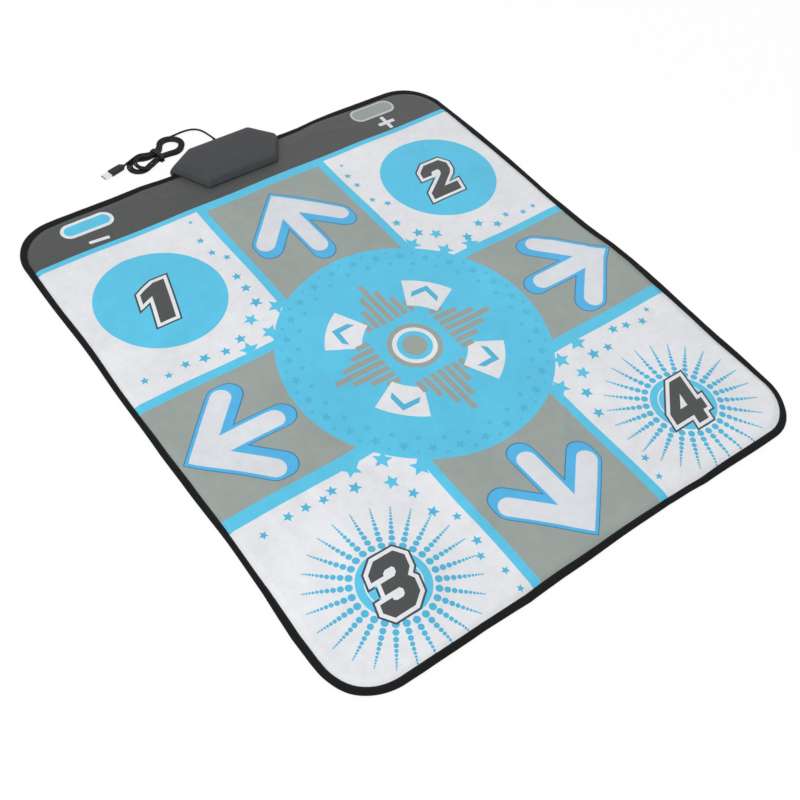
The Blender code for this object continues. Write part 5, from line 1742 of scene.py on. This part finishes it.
    def _sleeve(self) -> None:
        """The ribbed rubber sleeve that keeps the cable from kinking at the box."""
        inside, out = self.rear - self.wall, self.rear + 0.4
        profile = [(inside - 2.6, 0.0), (inside - 2.6, 3.2), (inside - 1.5, 3.2), (inside - 1.5, 2.55)]
        profile += [(out, 2.55), (out, 3.2), (out + 0.2, 3.3), (out + 1.2, 3.25), (out + 1.4, 3.05)]
        pitch = (self.sleeve_end - out - 2.0) / self.sleeve_ribs
        for k in range(self.sleeve_ribs):
            start, reach = out + 1.6 + k * pitch, 2.85 - 0.14 * k
            profile += [(start + pitch * share, reach - dip) for share, dip in self.rib]
        profile += [(self.sleeve_end, 2.05), (self.sleeve_end, 0.0)]
        base = Vector((self.exit.x, 0.0, self.exit.z))
        sleeve = spun("cable_sleeve", profile, base, Y_AXIS, 28)
        dress(sleeve, SLEEVE_RUBBER, "cable_jacket", smooth=40.0)
        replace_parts(sleeve, "cable_grommet")


# The cable, its tie and its plug


@dataclass
class Cable:
    """The thin cable: a lead from the box, a tied hank and a tail that ends in the plug."""

    diameter: float = 3.5
    exit: Triple = (-3.6, 508.1, 7.45)
    lead: tuple[Triple, ...] = (
        (-3.6, 511.8, 7.35), (-3.5, 519.5, 5.4), (-3.2, 528.0, 2.9), (-4.4, 536.5, 1.95),
        (-8.0, 545.5, 1.8), (-14.5, 552.2, 1.8), (-23.5, 556.0, 1.8), (-33.0, 557.2, 1.8),
        (-43.5, 557.0, 1.8), (-54.5, 556.0, 1.8),
    )
    hank_centre: Point = (-104.3, 519.4)
    hank_heading: float = math.radians(14.0)
    hank_turn: float = math.radians(24.0) / 56.0
    right_lobe: Point = (23.4, 34.4)
    left_lobe: Point = (20.8, 36.2)
    waist_half: float = 11.8
    pitch: float = 3.72
    start: float = 0.1
    turns: float = 85 / 16
    loop_points: int = 48
    upper_shorter: float = 10.5
    layer_step: float = 3.8
    waist_lift: Point = (1.7, 12.0)
    tail_crest: Point = (10.0, 1.2)
    plug_rear: Triple = (-163.6, 525.8, 4.2)
    plug_heading: float = math.radians(193.6)
    band_clear: Triple = (1.1, 0.6, 1.0)
    band_corner: float = 2.6
    band_shift: float = 3.7
    band_half: Point = (1.7, 0.42)
    strand_radius: float = 0.6
    strand_reach: float = 0.66
    strand_start: Triple = (1.6, 1.4, 4.8)
    strand_points: int = 16
    strand_step: Point = (0.5, 0.4)
    strand_bend: Point = (0.0016, 0.003)

    def build(self) -> None:
        steps = round(self.turns * self.loop_points)
        hank = [self._hank_point(self.turns * k / steps) for k in range(steps + 1)]
        ahead = (hank[1] - hank[0]).normalized()
        behind = (hank[-1] - hank[-2]).normalized()
        axis = Vector((math.cos(self.plug_heading), math.sin(self.plug_heading), 0.0))
        rear = Vector(self.plug_rear)
        lead = [Vector(self.exit), *(Vector(p) for p in self.lead), hank[0] - ahead * self.diameter]
        over = rear - axis * self.tail_crest[0] + Z_AXIS * self.tail_crest[1]
        tail = [hank[-1] + behind * self.diameter, over, rear - axis * 3.0, rear - axis * 0.3]
        route = smooth_route(lead + hank[:1], 3.0)[:-1] + hank + smooth_route([hank[-1], *tail], 2.0)[1:]
        cable = self._tube("usb_cable", route)
        dress(cable, JACKET, "cable_jacket")
        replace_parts(cable, "cord_lead", "cord_hank", "cord_tail")
        length = sum((b - a).length for a, b in zip(route, route[1:]))
        tie = self._tie()
        plug = Plug(rear, axis).build()
        tuple(Vector(self.exit) * MM)

    def _tube(self, name: str, route: Sequence[Vector]) -> Piece:
        """The cable as a curve with a round bevel."""
        curve = bpy.data.curves.new(name, "CURVE")
        curve.dimensions = "3D"
        curve.bevel_depth = self.diameter / 2 * MM
        curve.bevel_resolution = 3
        curve.use_fill_caps = True
        spline = curve.splines.new("POLY")
        spline.points.add(len(route) - 1)
        for point, spot in zip(spline.points, route):
            point.co = (*(spot * MM), 1.0)
        return new_piece(name, curve)

    def _arcs(self, shorter: float) -> list[tuple[float, float, float, float, float]]:
        """One loop as arcs: middle x and y, radius, first angle and sweep.

        Two lobes are joined by waist arcs that touch them and touch each other. The left
        lobe's middle is `shorter` millimetres nearer to the waist.
        """

        def waist_arc(radius: float, reach: float) -> Point:
            """The radius of a lobe's waist arc, and the angle where the two touch."""
            waist = (reach**2 / (radius - self.waist_half) - radius - self.waist_half) / 2
            return waist, math.atan2(self.waist_half + waist, -reach)

        (right, right_x), (left, left_x) = self.right_lobe, self.left_lobe
        left_x -= shorter
        right_waist, right_angle = waist_arc(right, right_x)
        left_waist, left_angle = waist_arc(left, left_x)
        quarter, half = math.pi / 2, self.waist_half
        return [
            (right_x, 0.0, right, 0.0, right_angle),
            (0.0, half + right_waist, right_waist, right_angle - math.pi, quarter - right_angle),
            (0.0, half + left_waist, left_waist, -quarter, quarter - left_angle),
            (-left_x, 0.0, left, math.pi - left_angle, 2 * left_angle),
            (0.0, -half - left_waist, left_waist, left_angle, quarter - left_angle),
            (0.0, -half - right_waist, right_waist, quarter, quarter - right_angle),
            (right_x, 0.0, right, -right_angle, right_angle),
        ]

    def _loop_point(self, fraction: float, drawn_in: float, shorter: float) -> Point:
        """A point on the loop at a fraction of its length, drawn in towards its middle."""
        arcs = self._arcs(shorter)
        left = (fraction % 1.0) * sum(abs(radius * sweep) for _, _, radius, _, sweep in arcs)
        for x, y, radius, first, sweep in arcs:
            length = abs(radius * sweep)
            if left <= length:
                break
            left -= length
        reach = radius - drawn_in if sweep > 0 else radius + drawn_in
        return polar((x, y), reach, first + sweep * min(left / length, 1.0))

    def _hank_frame(self, along: float) -> tuple[Vector, Vector, Vector]:
        """The hank's gently curved axis, `along` from its waist: place, heading, leftwards."""
        heading = self.hank_heading + self.hank_turn * along
        cos, sin = math.cos(heading), math.sin(heading)
        x = (sin - math.sin(self.hank_heading)) / self.hank_turn
        y = (math.cos(self.hank_heading) - cos) / self.hank_turn
        spot = Vector((self.hank_centre[0] + x, self.hank_centre[1] + y, 0.0))
        return spot, Vector((cos, sin, 0.0)), Vector((-sin, cos, 0.0))

    def _hank_point(self, turn: float) -> Vector:
        """The cable's middle after `turn` turns of the hank."""
        climb, shift = smooth_step((turn - self.turns / 2 + np.array([0.25, 0.0])) / 0.5).tolist()
        drawn_in = self.pitch * min(turn, self.turns - turn)
        along, across = self._loop_point(self.start + turn, drawn_in, self.upper_shorter * shift)
        spot, _, leftwards = self._hank_frame(along)
        lift, reach = self.waist_lift
        spot += across * leftwards
        spot.z = self.diameter / 2 + self.layer_step * climb + lift * math.exp(-((along / reach) ** 2))
        return spot

    def _tie(self) -> Piece:
        """A flat wire tie: two turns round the waist and its ends twisted together."""
        middle, along, across = self._hank_frame(0.0)
        beside, below, above = self.band_clear
        inner = self.waist_half + self.diameter / 2 + beside
        top = self.diameter + self.layer_step + self.waist_lift[0] + above
        loop = rounded_bar((0.0, (top + below) / 2), (inner, (top - below) / 2), self.band_corner, 6)
        loop = loop[7:] + loop[:7]
        count = 2 * len(loop)
        spots = []
        for k in range(count + 1):
            x, z = loop[k % len(loop)]
            shift = self.band_shift * (2.0 * k / count - 1.0)
            spots.append(middle + across * x + along * shift + Z_AXIS * z)
        band = rounded_bar((0.0, 0.0), self.band_half, self.band_half[1] * 0.9, 2)
        wraps = swept("tie_band", np.array(spots), np.array(band))
        strand = np.array(circle((0.0, 0.0), self.strand_radius, 8))
        ahead, aside, level = self.strand_start
        start = middle - across * (inner + aside) + along * ahead + Z_AXIS * level
        (turn, step), (sideways, down) = self.strand_step, self.strand_bend
        strands = []
        for side in (0.0, math.pi):
            path = []
            for k in range(self.strand_points):
                sway, rise = polar((0.0, 0.0), self.strand_reach, side + k * turn)
                push = start - along * (step * k) - across * (sideways * k * k)
                path.append(push + across * sway + Z_AXIS * (rise - down * k * k))
            strands.append(swept(f"tie_strand_{side:.0f}", np.array(path), strand))
        tie = join_pieces("cable_tie", [wraps, *strands])
        dress(tie, TIE_PLASTIC, "cable_jacket", smooth=50.0)
        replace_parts(tie, "hank_tie")
        return tie


@dataclass
class Plug:
    """The plug on the cable's end: overmould, folded steel shell and contacts."""

    rear: Vector
    axis: Vector
    sections: tuple[Triple, ...] = (
        (0.0, 3.4, 2.9), (0.3, 3.9, 3.15), (0.8, 3.9, 3.15), (1.0, 3.45, 2.95), (1.3, 3.45, 2.95),
        (1.5, 3.95, 3.2), (2.1, 3.95, 3.2), (2.3, 3.6, 3.05), (2.7, 3.8, 3.1), (2.9, 5.6, 3.3),
        (3.4, 6.2, 3.5), (4.2, 6.5, 3.7), (6.0, 6.65, 3.82), (22.5, 6.8, 3.9), (27.0, 6.75, 3.82),
        (27.9, 6.6, 3.65), (28.5, 6.3, 3.1),
    )
    panel: Triple = (16.5, 15.0, 8.6)
    panel_depth: float = 0.7
    panel_level: float = 3.87
    shell_gap: float = 0.3
    shell_length: float = 13.0
    shell_half: Point = (6.0, 2.25)
    shell_wall: float = 0.4
    shell_lip: float = 0.15
    shell_root: float = 0.8
    window: tuple[float, float, float, float] = (2.9, 2.4, 2.2, 6.7)
    strips: tuple[Point, ...] = ((-3.5, 7.4), (-1.0, 6.4), (1.0, 6.4), (3.5, 7.4))
    strip_size: Point = (1.0, 0.12)
    strip_level: float = -0.31
    strip_inset: float = 1.6

    @property
    def shell_start(self) -> float:
        """How far the shell starts from the overmould's rear."""
        return self.sections[-1][0] + self.shell_gap

    def build(self) -> list[Piece]:
        """Builds and dresses the plug's pieces.

        Returns:
            The pieces on the cable, the frame's tongue among them.
        """
        across = Vector((-self.axis.y, self.axis.x, 0.0))
        turn = Matrix((across, Z_AXIS, self.axis)).transposed().to_4x4()
        self.place = Matrix.Translation(self.rear * MM) @ turn
        overmould, shell, contacts = self._overmould(), self._shell(), self._contacts()
        return [overmould, shell, contacts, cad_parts["usb_tongue"]]

    def _stack(self, name: str, half: Point, radius: float, start: float, steps: Iterable) -> Piece:
        """Builds up from a rounded rectangle by raising and resizing its end face.

        Args:
            name: the piece's name.
            half: the first section's half width and half height.
            radius: its corner radius.
            start: where it stands along the plug.
            steps: for each step how far on, and the new half width and half height.

        Returns:
            The piece, along +Z, closed at both ends.
        """
        piece = start_face(name, rounded_bar((0.0, 0.0), half, radius, 5), start)
        width, height = half
        with Bench(piece) as bench:
            for on, new_width, new_height in steps:
                extrude((0.0, 0.0, on * MM))
                scale = (new_width / width, new_height / height, 1.0)
                bpy.ops.transform.resize(value=scale, center_override=(0.0, 0.0, 0.0))
                width, height = new_width, new_height
            bench.close_ends()
        return piece

    def _overmould(self) -> Piece:
        """The soft body: a ribbed neck, a swelling shoulder and a sunk grip panel."""
        pairs = zip(self.sections, self.sections[1:])
        steps = [(b - a, width, height) for (a, _, _), (b, width, height) in pairs]
        piece = self._stack("plug_body", self.sections[0][1:], 2.0, 0.0, steps)
        along, length, width = self.panel
        for side in (-1.0, 1.0):
            bpy.ops.mesh.primitive_cylinder_add(
                vertices=32, radius=0.5 * MM, depth=MM, rotation=(math.pi / 2, 0.0, 0.0)
            )
            bpy.context.object.scale = (width, length, self.panel_depth)
            panel = name_primitive("grip_panel")
            panel.data.transform(Matrix.Translation(Vector((0.0, side * self.panel_level, along)) * MM))
            combine(piece, panel)
        piece.data.transform(self.place)
        dress(piece, OVERMOULD, "cable_jacket", smooth=38.0)
        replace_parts(piece, "usb_overmould")
        return piece

    def _shell(self) -> Piece:
        """The folded steel shell with two windows in each broad side."""
        start, length = self.shell_start, self.shell_length
        shell = self._stack("plug_shell", self.shell_half, 0.6, start, [(length, *self.shell_half)])
        with Bench(shell) as bench:
            bench.pick(Part.FACES, lambda face: face.calc_center_median().z > (start + length - 0.01) * MM)
            raise_face([(self.shell_wall, -self.shell_lip)])
            extrude((0.0, 0.0, (self.shell_root - length) * MM))
        across, width, length, along = self.window
        for side in (-1.0, 1.0):
            cutter = block("shell_window", (width, 8.0, length), (side * across, 0.0, start + along))
            with Bench(cutter) as bench:
                bench.pick(Part.EDGES, lambda edge: abs((edge.verts[0].co - edge.verts[1].co).y) > 2 * MM)
                bpy.ops.mesh.bevel(offset=0.25 * MM, segments=2, affect="EDGES")
            combine(shell, cutter)
        shell.data.transform(self.place)
        dress(shell, PLUG_STEEL, "plug_steel", smooth=40.0)
        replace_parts(shell, "usb_shell")
        return shell

    def _contacts(self) -> Piece:
        """Four gold strips on the tongue."""
        end = self.shell_start + self.shell_length - self.strip_inset
        strips = []
        for x, length in self.strips:
            spot = (x, self.strip_level, end - length / 2)
            strip = block("contact_strip", (*self.strip_size, length), spot)
            with Bench(strip) as bench:
                bench.pick(Part.EDGES, lambda edge: edge.calc_length() > 5 * MM)
                bpy.ops.mesh.bevel(offset=0.04 * MM, segments=1, affect="EDGES")
            strips.append(strip)
        contacts = join_pieces("plug_contacts", strips)
        contacts.data.transform(self.place)
        return dress(contacts, CONTACT_GOLD, "plug_steel")


# The inside, the studio and the whole


SPACER_RIM: Point = (4.0, 5.0)
INSIDE: dict[str, Finish] = {
    "lower_contact_film": FILM,
    "upper_contact_film": FILM,
    "sensor_ribbon": FILM,
    "top_foam": FOAM,
    "circuit_board": BOARD,
    "controller_chip": CHIP,
    "clock_crystal": SCREW_STEEL,
    "ribbon_clamp_bar": INNER_PLASTIC,
    "clamp_plate": BOX_PLASTIC,
    "usb_tongue": TONGUE,
}


def tucked_spacer() -> Piece:
    """The spacer foam with its rim drawn in, clear of the tape where that has crept inwards."""
    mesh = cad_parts["spacer_foam"].data.copy()
    mesh.transform(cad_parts["spacer_foam"].matrix_world)
    piece = new_piece("spacer_sheet", mesh)
    with Bench(piece):
        bpy.ops.mesh.remove_doubles(threshold=0.000001)
    flat = np.array([vert.co.xy for vert in mesh.vertices]) / MM
    for vert, inset in zip(mesh.vertices, RIM.inset_of(flat)):
        if inset < SPACER_RIM[0]:
            vert.co.xy *= 1.0 - SPACER_RIM[1] / RIM.half_length
    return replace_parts(dress(piece, FOAM, "layer_foam"), "spacer_foam")


def dress_inside() -> None:
    """Finishes the solids that keep their shape: layers, pucks, contacts, board."""
    tucked_spacer()
    finishes = dict(INSIDE)
    for key in FIELDS.all:
        finishes |= {f"key_{key.name}_foam": FOAM, f"key_{key.name}_contact": CARBON}
    for name, finish in finishes.items():
        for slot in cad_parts[name].material_slots:
            slot.material = finish.material()
        LOG.info("%s: finished as %s", name, finish.name)


@dataclass
class Studio:
    """A pale floor, plain soft light and the camera at the photograph's angle."""

    camera_place: Triple = (-0.73185, -0.83081, 1.18846)
    camera_turn: Triple = (38.961, -4.567, -36.954)
    lens: float = 49.09
    sensor: float = 36.0
    lamps: tuple[tuple[str, Triple, float, float], ...] = (
        ("key_light", (-2.0, -0.5, 2.8), 2.2, 48.0), ("fill_light", (2.4, 1.2, 2.4), 2.6, 9.0),
    )
    sky_strength: float = 0.63
    floor_size: float = 16.0
    floor_drop: float = 0.0003
    floor_tone: float = 0.92
    floor_glow: float = 1.02
    glow_share: float = 0.86

    def build(self) -> None:
        """Sets up the camera, the lights, the world and the floor."""
        scene = bpy.context.scene
        scene.view_settings.view_transform = "Standard"
        data = bpy.data.cameras.new("camera")
        data.lens, data.sensor_width, data.clip_end = self.lens, self.sensor, 50.0
        camera = new_piece("camera", data)
        camera.location = self.camera_place
        camera.rotation_euler = [math.radians(turn) for turn in self.camera_turn]
        scene.camera = camera
        for lamp in self.lamps:
            self._lamp(*lamp)
        self._world()
        self._floor()

    def _lamp(self, name: str, place: Triple, size: float, power: float) -> None:
        """A square soft lamp that faces the mat."""
        data = bpy.data.lights.new(name, "AREA")
        data.size = size
        data.energy = power
        lamp = new_piece(name, data)
        lamp.location = place
        lamp.rotation_euler = (-Vector(place)).to_track_quat("-Z", "Y").to_euler()

    def _world(self) -> None:
        """An even sky that lights the mat and shows as white."""
        world = bpy.data.worlds.new("studio_world")
        world.use_nodes = True
        bpy.context.scene.world = world
        canvas = Canvas(world.node_tree)
        background = world.node_tree.nodes["Background"]
        background.inputs["Color"].default_value = (1.0, 1.0, 1.0, 1.0)
        strength = canvas.span(self._seen_directly(canvas), 0.0, 1.0, self.sky_strength, 1.0)
        canvas.tree.links.new(strength, background.inputs["Strength"])

    def _seen_directly(self, canvas: Canvas) -> Socket:
        """1 for what the camera sees itself, in gloss or through glass, otherwise 0."""
        path = canvas.add("ShaderNodeLightPath")
        glossy = canvas.math("MAXIMUM", path.outputs["Is Camera Ray"], path.outputs["Is Glossy Ray"])
        return canvas.math("MAXIMUM", glossy, path.outputs["Is Transmission Ray"])

    def _floor(self) -> None:
        """A white floor that keeps a faint shadow."""
        bpy.ops.mesh.primitive_plane_add(size=self.floor_size, location=(0.0, 0.0, -self.floor_drop))
        floor = name_primitive("floor")
        made = bpy.data.materials.new("floor_white")
        made.use_nodes = True
        canvas = Canvas(made.node_tree)
        shader = made.node_tree.nodes["Principled BSDF"]
        shader.inputs["Base Color"].default_value = (self.floor_tone, self.floor_tone, self.floor_tone, 1.0)
        shader.inputs["Roughness"].default_value = 0.9
        glow = canvas.add(
            "ShaderNodeEmission", {"Color": (1.0, 1.0, 1.0, 1.0), "Strength": self.floor_glow}
        )
        share = canvas.math("MULTIPLY", self._seen_directly(canvas), self.glow_share)
        both = canvas.add("ShaderNodeMixShader", {0: share, 1: shader.outputs[0], 2: glow.outputs[0]})
        canvas.tree.links.new(both.outputs[0], made.node_tree.nodes["Material Output"].inputs["Surface"])
        floor.data.materials.append(made)
        floor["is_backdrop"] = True


def write_sizes() -> None:
    """Gathers the frame's box and the dressed mat's box."""
    boxes = {"cad": CAD_BOX, "visual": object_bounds()}
    {name: [list(low), list(high)] for name, (low, high) in boxes.items()}


def main() -> None:
    """Builds the studio and every piece of the mat, in order."""
    logging.basicConfig(level=logging.INFO, format="%(message)s")
    Studio().build()
    Cable().build()
    PrintedSheet().build()
    EdgeTape().build()
    AntiSlipCover().build()
    ControlBox().build()
    dress_inside()
    write_sizes()


if __name__ == "__main__":
    main()
